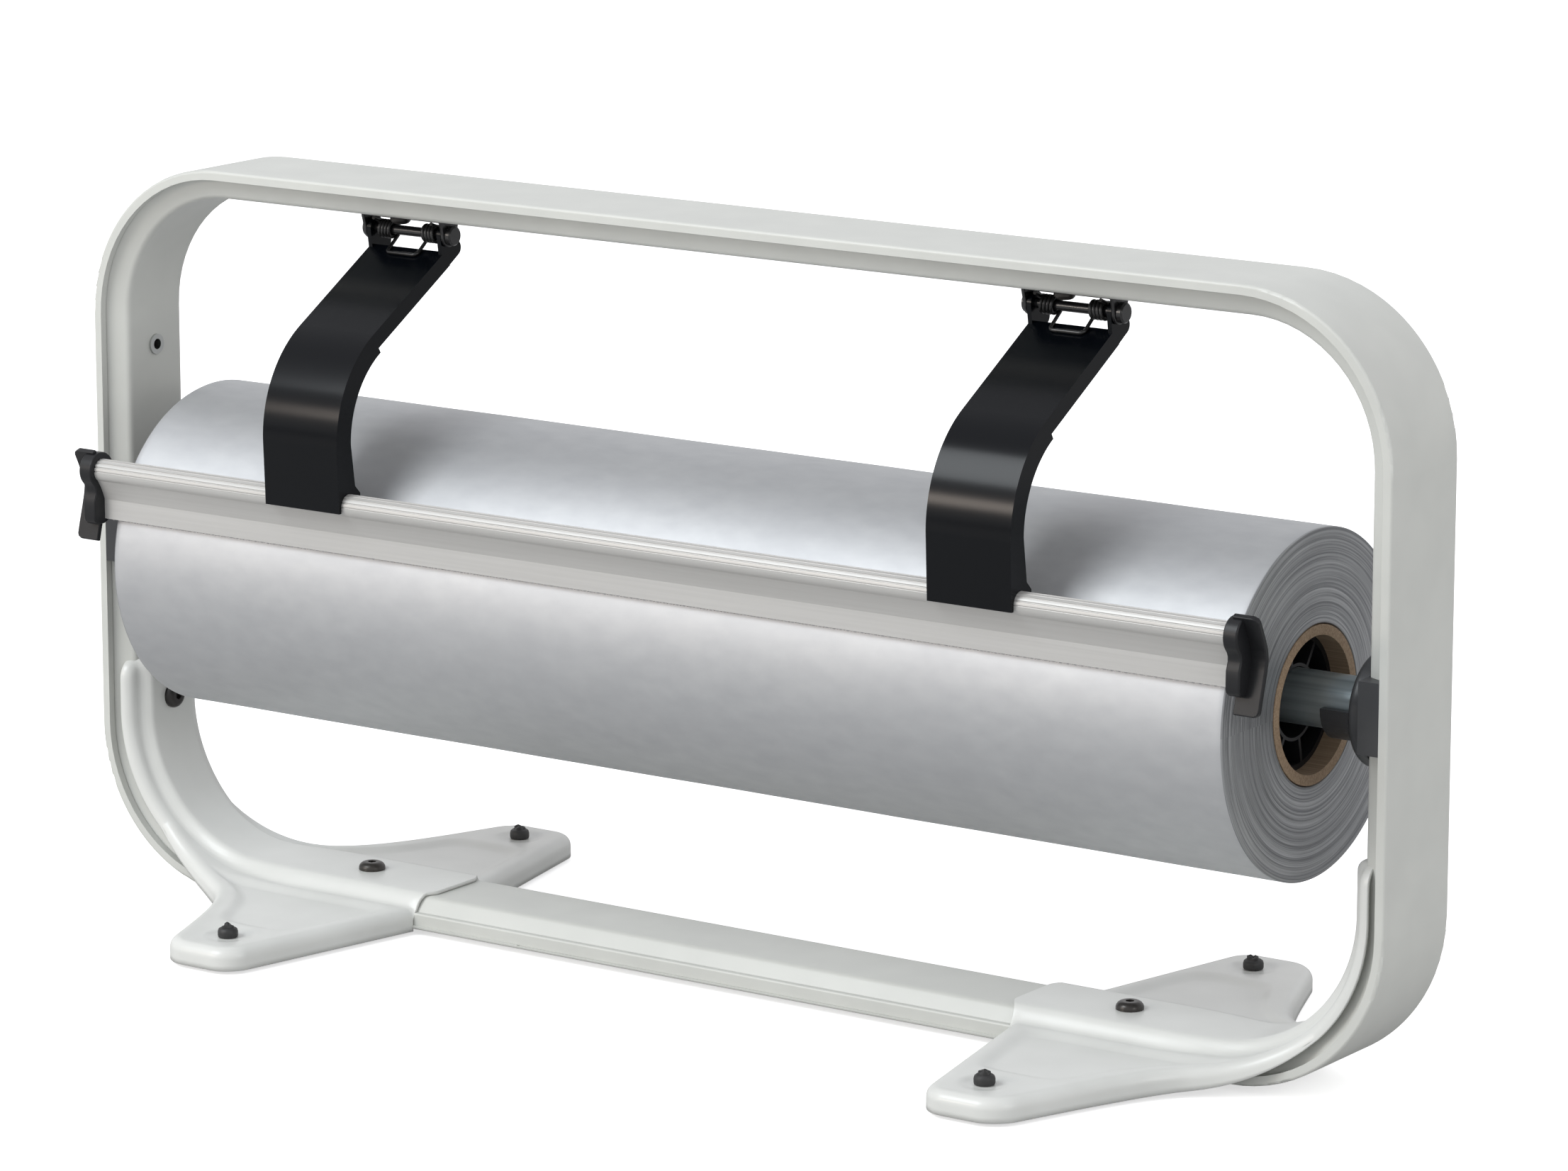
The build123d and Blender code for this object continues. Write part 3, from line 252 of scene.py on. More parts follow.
def ring_group() -> bpy.types.NodeTree:
    """Builds the fine rings that the edges of wound layers show on a roll's end.

    Returns:
        The group.
    """
    group = GroupBuilder("wound_rings", {**PATTERN_INPUTS, "Axis Z": ROLL_AXIS * MM}, PATTERN_OUTPUTS)
    coordinates = add_node(group.tree, "ShaderNodeTexCoord")
    split = add_node(group.tree, "ShaderNodeSeparateXYZ")
    group.link(coordinates.outputs["Object"], split.inputs[0])
    across = split.outputs["Y"]
    height = group.math("SUBTRACT", split.outputs["Z"], group.source.outputs["Axis Z"])
    squares = [group.math("MULTIPLY", value, value) for value in (across, height)]
    radius = group.math("SQRT", group.math("ADD", *squares), 0.0)
    angle = group.math("ARCTAN2", height, across)
    place = add_node(group.tree, "ShaderNodeCombineXYZ")
    group.link(group.math("MULTIPLY", radius, group.source.outputs["Scale"]), place.inputs["X"])
    group.link(group.math("MULTIPLY", angle, RING_TWIST), place.inputs["Y"])
    settings = {"Scale": 1.0, "Detail": 5.0, "Roughness": 0.75}
    rings = add_node(group.tree, "ShaderNodeTexNoise", settings)
    group.link(place.outputs[0], rings.inputs["Vector"])
    return group.pattern(rings.outputs[0], rings.outputs[0])


def pattern_groups() -> dict[Pattern, bpy.types.NodeTree]:
    """Builds the group of each pattern.

    Returns:
        The groups.
    """
    return {
        Pattern.SPECKLE: speckle_group(),
        Pattern.STREAK_X: streak_group("lengthwise_lines", (0.012, 1.0, 1.0)),
        Pattern.MOTTLE: streak_group("film_mottling", (0.55, 1.0, 1.0)),
        Pattern.RINGS: ring_group(),
    }


@dataclass
class Effects:
    """The shared shader groups, each built once."""

    patterns: dict[Pattern, bpy.types.NodeTree] = field(default_factory=pattern_groups)
    soiling: bpy.types.NodeTree = field(default_factory=soiling_group)


# ---------------------------------------------------------------- finishes
COAT_ROUGHNESS = 0.12
RELIEF_STRENGTH = 0.6
SECOND_STOP, COLOUR_STOP = 0.25, 0.75  # the shades at which the two colours are pure


@dataclass(frozen=True)
class Finish:
    """A surface finish that becomes one material.

    Args:
        name: The material's name.
        slot: The record's material slot; not used.
        colour: The main colour.
        second: The colour that the pattern and the marks mix in.
        metallic: How metallic it is.
        roughness: The lowest and highest roughness.
        pattern: How it varies over the surface.
        scale: The pattern's scale, per metre.
        contrast: How strongly the pattern shows in the colour.
        relief: The depth of the pattern's relief, in millimetres.
        marks: How strongly handling marks show.
        coat: The weight of a clear coat, with its own even roughness.
        shine: The level of its mirror reflection, with 0.5 as plain plastic.
    """

    name: str
    slot: str
    colour: Colour
    second: Colour
    metallic: float = 0.0
    roughness: tuple[float, float] = (0.4, 0.55)
    pattern: Pattern = Pattern.SPECKLE
    scale: float = 900.0
    contrast: float = 1.0
    relief: float = 0.01
    marks: float = 0.3
    coat: float = 0.0
    shine: float = 0.5

    def build(self, effects: Effects) -> bpy.types.Material:
        """Builds the material.

        Args:
            effects: The shared shader groups.

        Returns:
            The finished material.
        """
        material = bpy.data.materials.new(self.name)
        material.use_nodes = True
        tree = material.node_tree
        link = tree.links.new
        surface = tree.nodes["Principled BSDF"]
        plain = {
            "Metallic": self.metallic,
            "Coat Weight": self.coat,
            "Coat Roughness": COAT_ROUGHNESS,
            "Specular IOR Level": self.shine,
        }
        for name, value in plain.items():
            surface.inputs[name].default_value = value
        sizes = {"Scale": self.scale, "Contrast": self.contrast}
        group = effects.patterns[self.pattern]
        texture = add_node(tree, "ShaderNodeGroup", sizes, node_tree=group)
        marks = {"Amount": self.marks}
        soiling = add_node(tree, "ShaderNodeGroup", marks, node_tree=effects.soiling)
        mask = soiling.outputs["Mask"]
        self.mix_colour(tree, texture.outputs["Shade"], mask, surface)
        low, high = self.roughness
        roughness = add_node(tree, "ShaderNodeMapRange", {"To Min": low, "To Max": high})
        link(mask, roughness.inputs["Value"])
        link(roughness.outputs[0], surface.inputs["Roughness"])
        relief = {"Strength": RELIEF_STRENGTH, "Distance": self.relief * MM}
        bump = add_node(tree, "ShaderNodeBump", relief)
        link(texture.outputs["Height"], bump.inputs["Height"])
        link(bump.outputs[0], surface.inputs["Normal"])
        return material

    def mix_colour(
        self,
        tree: bpy.types.NodeTree,
        shade: bpy.types.NodeSocket,
        mask: bpy.types.NodeSocket,
        surface: bpy.types.Node,
    ) -> None:
        """Mixes the two colours by the pattern, then dulls them by the marks.

        Args:
            tree: The material's tree.
            shade: The pattern's value.
            mask: The marks' value.
            surface: The surface shader.
        """
        ramp = add_ramp(tree, (SECOND_STOP, self.second), (COLOUR_STOP, self.colour))
        dull = add_node(tree, "ShaderNodeMix", {"B": (*self.second, 1.0)}, data_type="RGBA")
        tree.links.new(shade, ramp.inputs[0])
        tree.links.new(mask, dull.inputs["Factor"])
        tree.links.new(ramp.outputs[0], dull.inputs["A"])
        tree.links.new(dull.outputs["Result"], surface.inputs["Base Color"])


@dataclass
class Palette:
    """The object's materials, each built when a piece first asks for it."""

    effects: Effects
    materials: dict[str, bpy.types.Material] = field(default_factory=dict)

    def dress(self, obj: bpy.types.Object, *finishes: Finish) -> None:
        """Gives an object its materials.

        Args:
            obj: The object.
            finishes: Its finishes, in the order of its material slots.
        """
        obj.data.materials.clear()
        for finish in finishes:
            if finish.name not in self.materials:
                self.materials[finish.name] = finish.build(self.effects)
            obj.data.materials.append(self.materials[finish.name])


FRAME_COAT = Finish(
    "frame_powder_coat", "frame_coat", (0.625, 0.635, 0.60), (0.57, 0.58, 0.55),
    roughness=(0.40, 0.48), scale=1500.0, contrast=0.8, relief=0.012, marks=0.25, coat=0.05,
)
FOOT_COAT = Finish(
    "foot_powder_coat", "foot_coat", (0.73, 0.74, 0.715), (0.66, 0.67, 0.645),
    roughness=(0.33, 0.42), scale=1400.0, contrast=0.8, relief=0.012, marks=0.3, coat=0.12,
)
ARM_ENAMEL = Finish(
    "arm_enamel", "black_gloss", (0.0012, 0.0018, 0.003), (0.002, 0.0028, 0.0042),
    roughness=(0.19, 0.26), scale=700.0, contrast=0.7, relief=0.003, marks=0.12, shine=0.2,
)
HINGE_BLACK = Finish(
    "hinge_black", "black_steel", (0.005, 0.005, 0.006), (0.014, 0.014, 0.015),
    roughness=(0.25, 0.42), scale=1100.0, contrast=0.9, relief=0.01, marks=0.6, coat=0.3,
)
BLACK_OXIDE = Finish(
    "black_oxide", "black_steel", (0.012, 0.012, 0.014), (0.05, 0.045, 0.04),
    metallic=0.4, roughness=(0.28, 0.48), scale=1300.0, contrast=1.1, relief=0.01, marks=0.6,
)
MOULDED_BLACK = Finish(
    "moulded_black", "black_plastic", (0.008, 0.0085, 0.010), (0.015, 0.0155, 0.017),
    roughness=(0.36, 0.5), scale=1600.0, contrast=0.8, relief=0.02, marks=0.35, shine=0.3,
)
BEARING_BLACK = Finish(
    "moulded_bearing", "black_plastic", (0.026, 0.028, 0.031), (0.045, 0.046, 0.049),
    roughness=(0.34, 0.46), scale=1600.0, contrast=0.8, relief=0.015, marks=0.4,
)
SPRING_WIRE = Finish(
    "spring_wire_black", "spring_wire", (0.012, 0.012, 0.013), (0.06, 0.06, 0.06),
    metallic=0.6, roughness=(0.25, 0.4), scale=1800.0, contrast=1.0, relief=0.006, marks=0.5,
)
BRIGHT_ZINC = Finish(
    "bright_zinc", "zinc_steel", (0.62, 0.63, 0.61), (0.45, 0.47, 0.47),
    metallic=1.0, roughness=(0.28, 0.42), scale=1200.0, contrast=1.2, relief=0.01, marks=0.5,
)
GALVANISED = Finish(
    "galvanised_tube_skin", "galvanised_tube", (0.42, 0.48, 0.50), (0.26, 0.31, 0.33),
    metallic=0.7, roughness=(0.26, 0.42), pattern=Pattern.STREAK_X, scale=420.0,
    contrast=1.5, relief=0.02, marks=0.6,
)
ANODISED = Finish(
    "anodised_bar_skin", "bar_aluminium", (0.54, 0.535, 0.52), (0.49, 0.485, 0.47),
    metallic=0.25, roughness=(0.42, 0.5), pattern=Pattern.STREAK_X, scale=900.0,
    contrast=1.0, relief=0.01, marks=0.25,
)
BLADE = Finish(
    "ground_blade", "blade_steel", (0.55, 0.54, 0.52), (0.32, 0.31, 0.30),
    metallic=1.0, roughness=(0.25, 0.4), pattern=Pattern.STREAK_X, scale=1100.0,
    contrast=1.3, relief=0.01, marks=0.5,
)
CARD = Finish(
    "wound_card", "core_card", (0.40, 0.29, 0.19), (0.24, 0.165, 0.105),
    roughness=(0.75, 0.92), pattern=Pattern.STREAK_X, scale=1500.0, contrast=1.6,
    relief=0.08, marks=0.7,
)
FILM = Finish(
    "silver_film", "wrap_film", (0.56, 0.57, 0.58), (0.50, 0.51, 0.525),
    metallic=0.82, roughness=(0.55, 0.62), pattern=Pattern.MOTTLE, scale=170.0,
    contrast=0.9, relief=0.03, marks=0.35,
)
FILM_EDGE = Finish(
    "film_edges", "wrap_film", (0.52, 0.53, 0.54), (0.19, 0.195, 0.205),
    metallic=0.7, roughness=(0.34, 0.5), pattern=Pattern.RINGS, scale=1500.0,
    contrast=2.2, relief=0.15, marks=0.45,
)
RUBBER = Finish(
    "stem_rubber", "foot_rubber", (0.012, 0.012, 0.013), (0.03, 0.03, 0.03),
    roughness=(0.5, 0.72), scale=1500.0, contrast=0.9, relief=0.03, marks=0.7,
)


# ---------------------------------------------------------------- mesh tools
def smooth_step(low: float, high: float, value: np.ndarray | float) -> np.ndarray | float:
    """Rises smoothly from 0 at low to 1 at high."""
    share = np.clip((value - low) / (high - low), 0.0, 1.0)
    return share * share * (3.0 - 2.0 * share)


def full_turn(sides: int) -> np.ndarray:
    """Gives even angles round a full turn."""
    return np.linspace(0.0, 2 * math.pi, sides, endpoint=False)


def corner_inset(distance: np.ndarray, radius: float) -> np.ndarray:
    """Gives how far a rounded corner draws one of its edges in.

    Args:
        distance: How far each place on that edge is from the other edge.
        radius: The radius of the rounding.

    Returns:
        How far each place is drawn in, which is 0 beyond the rounding.
    """
    over = np.clip(1.0 - distance / radius, 0.0, 1.0)
    return radius * (1.0 - np.sqrt(1.0 - over * over))


def pairs(first: np.ndarray | float, second: np.ndarray | float) -> np.ndarray:
    """Sets two rows of numbers side by side, one pair in each row."""
    return np.stack(np.broadcast_arrays(first, second), 1)


def add_object(name: str, data: bpy.types.ID) -> bpy.types.Object:
    """Makes an object and links it to the scene.

    Args:
        name: The object's name.
        data: Its mesh, curve, light or camera.

    Returns:
        The object.
    """
    obj = bpy.data.objects.new(name, data)
    bpy.context.scene.collection.objects.link(obj)
    return obj


def make_mesh(
    name: str, points: np.ndarray, faces: list[tuple[int, ...]], crease_angle: float = 35.0
) -> bpy.types.Object:
    """Makes a smooth-shaded mesh object from points in millimetres.

    Args:
        name: The piece's name.
        points: One row of x, y and z for each vertex.
        faces: Vertex numbers of each face.
        crease_angle: Edges sharper than this, in degrees, stay sharp.

    Returns:
        The new object, linked to the scene.
    """
    mesh = bpy.data.meshes.new(name)
    mesh.from_pydata((np.asarray(points) * MM).tolist(), [], faces)
    mesh.validate()
    mesh.shade_smooth()
    mesh.set_sharp_from_angle(angle=math.radians(crease_angle))
    return add_object(name, mesh)


def distance_to_line(points: np.ndarray, line: np.ndarray) -> np.ndarray:
    """Gives how far points lie from a line of straight pieces.

    Args:
        points: One row of two coordinates for each point.
        line: The line's corners, row by row.

    Returns:
        The distances.
    """
    start, run = line[:-1], np.diff(line, axis=0)
    length = np.maximum((run**2).sum(1), 1e-9)
    nearest = np.full(len(points), np.inf)
    for corner, step, squared in zip(start, run, length):
        share = np.clip(((points - corner) @ step) / squared, 0.0, 1.0)
        gap = points - corner - share[:, None] * step
        nearest = np.minimum(nearest, np.hypot(gap[:, 0], gap[:, 1]))
    return nearest


def grid_faces(
    rows: int, columns: int, closed: bool = False, flip: bool = False
) -> list[tuple[int, ...]]:
    """Gives the quads of a grid of vertices stored row by row.

    Args:
        rows: The number of rows.
        columns: The number of vertices in a row.
        closed: Joins the end of each row to its start.
        flip: Turns the faces over.

    Returns:
        The vertex numbers of each quad.
    """
    faces = []
    for row in range(rows - 1):
        for column in range(columns if closed else columns - 1):
            after = (column + 1) % columns
            quad = (
                row * columns + column,
                row * columns + after,
                (row + 1) * columns + after,
                (row + 1) * columns + column,
            )
            faces.append(quad[::-1] if flip else quad)
    return faces


def thicken(obj: bpy.types.Object, sheet: float) -> None:
    """Gives a surface the thickness of its sheet, on its back.

    Args:
        obj: The surface.
        sheet: The thickness, in millimetres.
    """
    solid = obj.modifiers.new("sheet", "SOLIDIFY")
    solid.thickness = sheet * MM
    solid.offset = -1.0


def round_edges(obj: bpy.types.Object, width: float, segments: int = 2, angle: float = 40.0) -> None:
    """Rounds a piece's sharp edges with modifiers.

    Args:
        obj: The piece.
        width: The width of the rounding, in millimetres.
        segments: How many steps it has.
        angle: Only edges sharper than this, in degrees, are rounded.
    """
    weld = obj.modifiers.new("join", "WELD")
    weld.merge_threshold = WELD_REACH * MM
    bevel = obj.modifiers.new("round", "BEVEL")
    bevel.width = width * MM
    bevel.segments = segments
    bevel.limit_method = "ANGLE"
    bevel.angle_limit = math.radians(angle)
    bevel.harden_normals = True
    bevel.use_clamp_overlap = True


@dataclass
class Dresser:
    """Gives pieces and CAD nodes their finish, and puts pieces on their body.

    Args:
        palette: The object's materials.
    """

    palette: Palette

    def nodes(self, finish: Finish, *names: str, rounding: float = 0.0) -> None:
        """Dresses CAD nodes whose shapes are right.

        Args:
            finish: Their finish.
            names: The nodes.
            rounding: The width of the rounding of their edges, in millimetres.
        """
        for name in names:
            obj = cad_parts[name]
            self.palette.dress(obj, finish)
            if rounding:
                round_edges(obj, rounding)
            log.info("node %s: %s", name, finish.name)

    def piece(self, obj: bpy.types.Object, body: Body, *finishes: Finish) -> None:
        """Dresses a new piece and puts it on its body.

        Args:
            obj: The piece.
            body: The body that it rides on.
            finishes: Its finishes, in the order of its material slots.
        """
        self.palette.dress(obj, *finishes)
        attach(obj, body.value)
        log.info("piece %s: %s", obj.name, finishes[0].name)


@dataclass
class Part:
    """A sub-assembly of the stand, whose sizes are in millimetres.

    Args:
        dresser: Dresses its nodes and pieces.
    """

    dresser: Dresser


@dataclass
class SidePart(Part):
    """A sub-assembly that is built once for each side.

    Args:
        side: -1 for the left one and 1 for the right one.
    """

    side: int

    @property
    def label(self) -> str:
        """The side's name."""
        return "right" if self.side > 0 else "left"


# ---------------------------------------------------------------- frame ring
@dataclass
class FrameRing(Part):
    """The hemmed strip, the channel inside it and the bottom rail."""

    def build(self) -> None:
        """Dresses the ring's three sheets."""
        self.dresser.nodes(
            FRAME_COAT, "frame_outer_strip", "frame_inner_channel", "bottom_rail_channel"
        )


# ---------------------------------------------------------------- foot plates
@dataclass
class FootPlate(SidePart):
    """A pressed foot plate: a ribbed cross plate that runs on as a tongue.

    Points of the sheet are found by their distance along the rail and up the tongue, and
    by their distance from the rail's middle.
    """

    # the outline: the rib's mouth, the wings and the tongue
    rib_start: float = 133.0
    mouth: tuple[float, float] = (11.0, 20.0)
    root: float = 137.0
    root_half: float = 22.0
    tip_reach: float = 110.5
    tip_inner: float = 156.5
    tip_outer: float = 188.6
    outer_root: float = 222.3
    tip_round: float = 9.0
    flare: float = 40.0
    flare_fade: float = 11.0
    tongue_half: float = 21.0
    bend_start: float = 221.8
    bend_radius: float = 53.2
    tongue_top: float = 90.0
    tongue_round: float = 8.0
    # the pressed levels and the rib, which grows narrower where the sheet turns up
    rise: tuple[float, float] = (195.0, 250.0)
    rib_crest: float = 15.5
    rib_foot: float = 22.5
    crest_taper: float = 4.0
    foot_taper: float = 6.0
    rib_top: float = 16.05
    plate_top: float = 10.3
    skirt_bottom: float = 1.5
    skirt_rise_start: float = 205.0
    margin_drop: float = 4.2
    tongue_skirt: float = 9.4
    edge_round: float = 4.4
    # the sunk panel of each wing and the dimple round the stem
    panel_depth: float = 1.7
    panel_inner_inset: float = 9.0
    panel_outer_inset: float = 12.0
    panel_root: float = 25.5
    panel_tip_gap: float = 17.0
    panel_blend: float = 3.0
    panel_wall: tuple[float, float] = (-2.5, 3.5)
    dimple_depth: float = 0.8
    dimple_wall: tuple[float, float] = (6.0, 10.5)
    stem: tuple[float, float] = (172.0, 92.0)
    sheet: float = 1.4
    # the grid
    middle_steps: int = 18
    middle_margin: float = 4.0
    flare_width: float = 10.0
    flare_steps: int = 16
    wing_steps: int = 44
    tongue_steps: int = 40

    @property
    def bend_height(self) -> float:
        """The height of the bend's middle."""
        return self.rib_top + self.bend_radius

    @property
    def bend_end(self) -> float:
        """Where the bend ends, along the sheet."""
        return self.bend_start + self.bend_radius * math.pi / 2

    @property
    def end(self) -> float:
        """Where the tongue ends, along the sheet."""
        return self.bend_end + self.tongue_top - self.bend_height

    @property
    def flare_start(self) -> float:
        """Where the wings run out beside the tongue, along the sheet."""
        return self.outer_root + self.flare

    def corner_cut(self, across: np.ndarray) -> np.ndarray:
        """Gives how far the tip's rounded corners draw the outline in."""
        return corner_inset(self.tip_reach - across, self.tip_round)

    def inner_edge(self, across: np.ndarray) -> np.ndarray:
        """Gives the inboard end of the sheet.

        Args:
            across: Distances from the rail's middle.

        Returns:
            Distances along the sheet.
        """
        mouth = self.rib_start + (self.root - self.rib_start) * smooth_step(*self.mouth, across)
        slope = (self.tip_inner - self.root) / (self.tip_reach - self.root_half)
        wing = self.root + slope * (across - self.root_half)
        return np.where(across < self.root_half, mouth, wing + self.corner_cut(across))

    def outer_edge(self, across: np.ndarray) -> np.ndarray:
        """Gives the outboard end of the wings, which runs out into the tongue.

        Args:
            across: Distances from the rail's middle.

        Returns:
            Distances along the sheet.
        """
        beyond = np.maximum(across - self.tongue_half, 0.0)
        slope = (self.outer_root - self.tip_outer) / (self.tip_reach - self.tongue_half)
        line = self.outer_root - slope * beyond + self.flare * np.exp(-beyond / self.flare_fade)
        return line - self.corner_cut(across)

    def outline(self) -> np.ndarray:
        """Gives the free edge of one half, from the rail round the wing to the tongue's end.

        Returns:
            Points along and across the sheet.
        """
        turned = np.sin(np.linspace(0.0, math.pi / 2, 60)[1:])
        corner_start = self.tip_reach - self.tip_round
        corner_rows = corner_start + self.tip_round * turned
        wing = np.concatenate([np.linspace(self.root_half, corner_start, 140), corner_rows])
        inner = pairs(self.inner_edge(wing), wing)
        tip_end = self.outer_edge(np.array([self.tip_reach]))[0]
        tip = pairs(np.linspace(inner[-1, 0], tip_end, 30), self.tip_reach)
        back = np.concatenate([corner_rows[::-1], np.linspace(corner_start, self.tongue_half, 200)])
        outer = pairs(self.outer_edge(back), back)
        straight = self.end - self.tongue_round
        tongue = pairs(np.linspace(self.flare_start, straight, 60), self.tongue_half)
        turn = np.linspace(0.0, math.pi / 2, 16)
        corner = pairs(
            straight + self.tongue_round * np.sin(turn),
            self.tongue_half - self.tongue_round * (1.0 - np.cos(turn)),
        )
        top = pairs(self.end, np.linspace(corner[-1, 1], 0.0, 20))
        return np.concatenate([inner, tip, outer, tongue, corner, top])

    def height(self, along: np.ndarray, across: np.ndarray, edge: np.ndarray) -> np.ndarray:
        """Gives the pressed sheet's height over the floor before the tongue is bent.

        Args:
            along: Distances along the sheet.
            across: Distances from the rail's middle.
            edge: Distances from the free edge.

        Returns:
            The heights.
        """
        upright = smooth_step(*self.rise, along)
        crest = self.rib_crest - self.crest_taper * upright
        foot = self.rib_foot - self.foot_taper * upright
        rib = 1.0 - smooth_step(0.0, 1.0, (across - crest) / (foot - crest))
        margin = self.rib_top - self.margin_drop
        low = self.plate_top + (margin - self.plate_top) * upright
        level = low + (self.rib_top - low) * rib
        level = level - self.panel_depth * self.panel(along, across)
        from_stem = np.hypot(along - self.stem[0], across - self.stem[1])
        level = level - self.dimple_depth * (1.0 - smooth_step(*self.dimple_wall, from_stem))
        return level - corner_inset(edge, self.edge_round)

    def panel(self, along: np.ndarray, across: np.ndarray) -> np.ndarray:
        """Gives how far each place is sunk in the panel of a wing.

        Args:
            along: Distances along the sheet.
            across: Distances from the rail's middle.

        Returns:
            1 inside the panel, 0 outside it and what lies between on its wall.
        """
        inner = along - self.inner_edge(across) - self.panel_inner_inset
        outer = self.outer_edge(across) - along - self.panel_outer_inset
        root = across - self.panel_root
        tip = self.stem[1] - self.panel_tip_gap - across
        blend = self.panel_blend
        nearest = -np.log(sum(np.exp(-value / blend) for value in (inner, outer, root, tip))) * blend
        return smooth_step(*self.panel_wall, nearest)

    def place(self, along: np.ndarray, across: np.ndarray, height: np.ndarray) -> np.ndarray:
        """Bends the sheet up into the tongue and gives its points.

        Args:
            along: Distances along the sheet.
            across: Distances from the rail's middle, with their sign.
            height: Heights before the bend.

        Returns:
            Points in millimetres.
        """
        turn = np.clip((along - self.bend_start) / self.bend_radius, 0.0, math.pi / 2)
        radius = self.bend_radius - (height - self.rib_top)
        rise = np.maximum(along - self.bend_end, 0.0)
        flat = np.minimum(along, self.bend_start)
        x = flat + radius * np.sin(turn)
        z = self.bend_height - radius * np.cos(turn) + rise
        return np.stack([self.side * x, across, z], -1)

    def rows(self) -> np.ndarray:
        """Gives the grid's rows, from the front to the back.

        Returns:
            Their distances from the rail's middle, with their sign.
        """
        middle = np.linspace(0.0, self.tongue_half - self.middle_margin, self.middle_steps)
        tongue_edge = self.tongue_half - EDGE_STEPS[5::-1]
        flare_end = self.tongue_half + self.flare_width
        flare = np.linspace(self.tongue_half, flare_end, self.flare_steps)[1:]
        wing = self.steps_to_edge(flare_end, self.tip_reach, self.wing_steps)
        half = np.concatenate([middle, tongue_edge, flare, wing])
        return np.concatenate([-half[:0:-1], half])

    def steps_to_edge(self, start: float, end: float, count: int) -> np.ndarray:
        """Gives even steps between two places, with close ones before the free edge at the end."""
        even = np.linspace(start, end - EDGE_STEPS[-1], count)[1:-1]
        return np.concatenate([even, end - EDGE_STEPS[::-1]])

    def columns(self, start: float, end: float) -> np.ndarray:
        """Gives the grid's steps between two ends of a row."""
        rest = self.steps_to_edge(start + EDGE_STEPS[-1], end, self.wing_steps)
        return np.concatenate([start + EDGE_STEPS, rest])

    def skirt_level(self, along: np.ndarray) -> np.ndarray:
        """Gives how low the skirt reaches along the sheet."""
        rising = smooth_step(self.skirt_rise_start, self.flare_start, along)
        return self.skirt_bottom + (self.rib_top - self.tongue_skirt - self.skirt_bottom) * rising

    def lay_out(self, across: np.ndarray) -> tuple[np.ndarray, list[list[int]]]:
        """Lays the sheet's grid out, row by row, with the tongue in the middle rows.

        Args:
            across: The rows' distances from the rail's middle.

        Returns:
            Each vertex's place along and across the sheet, and each row's vertex numbers.
        """
        tongue = self.steps_to_edge(self.flare_start, self.end, self.tongue_steps)
        places: list[tuple[float, float]] = []
        index: list[list[int]] = []
        for row in across:
            reach = np.array([abs(row)])
            steps = self.columns(self.inner_edge(reach)[0], self.outer_edge(reach)[0])
            if abs(row) <= self.tongue_half:
                steps = np.concatenate([steps, tongue])
            index.append(list(range(len(places), len(places) + len(steps))))
            places.extend((step, row) for step in steps)
        return self.round_tongue_end(np.array(places)), index

    def skirt(self, rim: np.ndarray, level: np.ndarray) -> list[np.ndarray]:
        """Gives the two rows of points that hang from the sheet's free edge.

        Args:
            rim: The free edge's places along and across the sheet.
            level: The heights of the free edge.

        Returns:
            The points of each row.
        """
        bottom = self.skirt_level(rim[:, 0])
        drops = [level + (bottom - level) * share for share in (0.5, 1.0)]
        return [self.place(rim[:, 0], rim[:, 1], drop) for drop in drops]

    def faces(self, index: list[list[int]], chain: list[list[int]]) -> list[tuple[int, ...]]:
        """Gives the quads of the sheet, then those of its skirt.

        Args:
            index: The vertex numbers of each row of the sheet.
            chain: The vertex numbers of the free edge and of each row of the skirt.

        Returns:
            The vertex numbers of each quad.
        """
        made = []
        for first, second in zip(index, index[1:]):
            for place in range(min(len(first), len(second)) - 1):
                made.append((first[place], first[place + 1], second[place + 1], second[place]))
        for upper, lower in zip(chain, chain[1:]):
            for place in range(len(upper) - 1):
                made.append((upper[place + 1], upper[place], lower[place], lower[place + 1]))
        return [face[::-1] for face in made] if self.side < 0 else made

    def round_tongue_end(self, places: np.ndarray) -> np.ndarray:
        """Draws the tongue's end corners in to their rounding.

        Args:
            places: Distances along and across the sheet.

        Returns:
            The same places, with the corners rounded.
        """
        along, reach = places[:, 0], np.abs(places[:, 1])
        limit = self.end - corner_inset(self.tongue_half - reach, self.tongue_round)
        share = np.clip((along - self.flare_start) / (self.end - self.flare_start), 0.0, 1.0)
        drawn = self.flare_start + share * (limit - self.flare_start)
        tongue_places = np.where(along > self.flare_start, drawn, along)
        return pairs(tongue_places, places[:, 1])

    def border(self, index: list[list[int]], across: np.ndarray) -> list[int]:
        """Gives the vertices along the sheet's free edge that carry the skirt.

        Args:
            index: The vertex numbers of each row.
            across: The rows' distances from the rail's middle.

        Returns:
            The vertex numbers, from the rail's front round the tongue to the rail's back.
        """
        edge = self.root_half - TOLERANCE
        front = [row for row, value in enumerate(across) if value < -edge]
        back = [row for row, value in enumerate(across) if value > edge]
        limit = self.tongue_half + TOLERANCE
        middle = [row for row, value in enumerate(across) if abs(value) <= limit]
        wing_length = len(index[0])
        chain = [index[row][0] for row in reversed(front)]
        chain += index[0][1:-1]
        chain += [index[row][-1] for row in front]
        chain += index[middle[0]][wing_length - 1:-1]
        chain += [index[row][-1] for row in middle]
        chain += index[middle[-1]][-2:wing_length - 2:-1]
        chain += [index[row][-1] for row in back]
        chain += index[-1][-2:0:-1]
        chain += [index[row][0] for row in reversed(back)]
        return chain

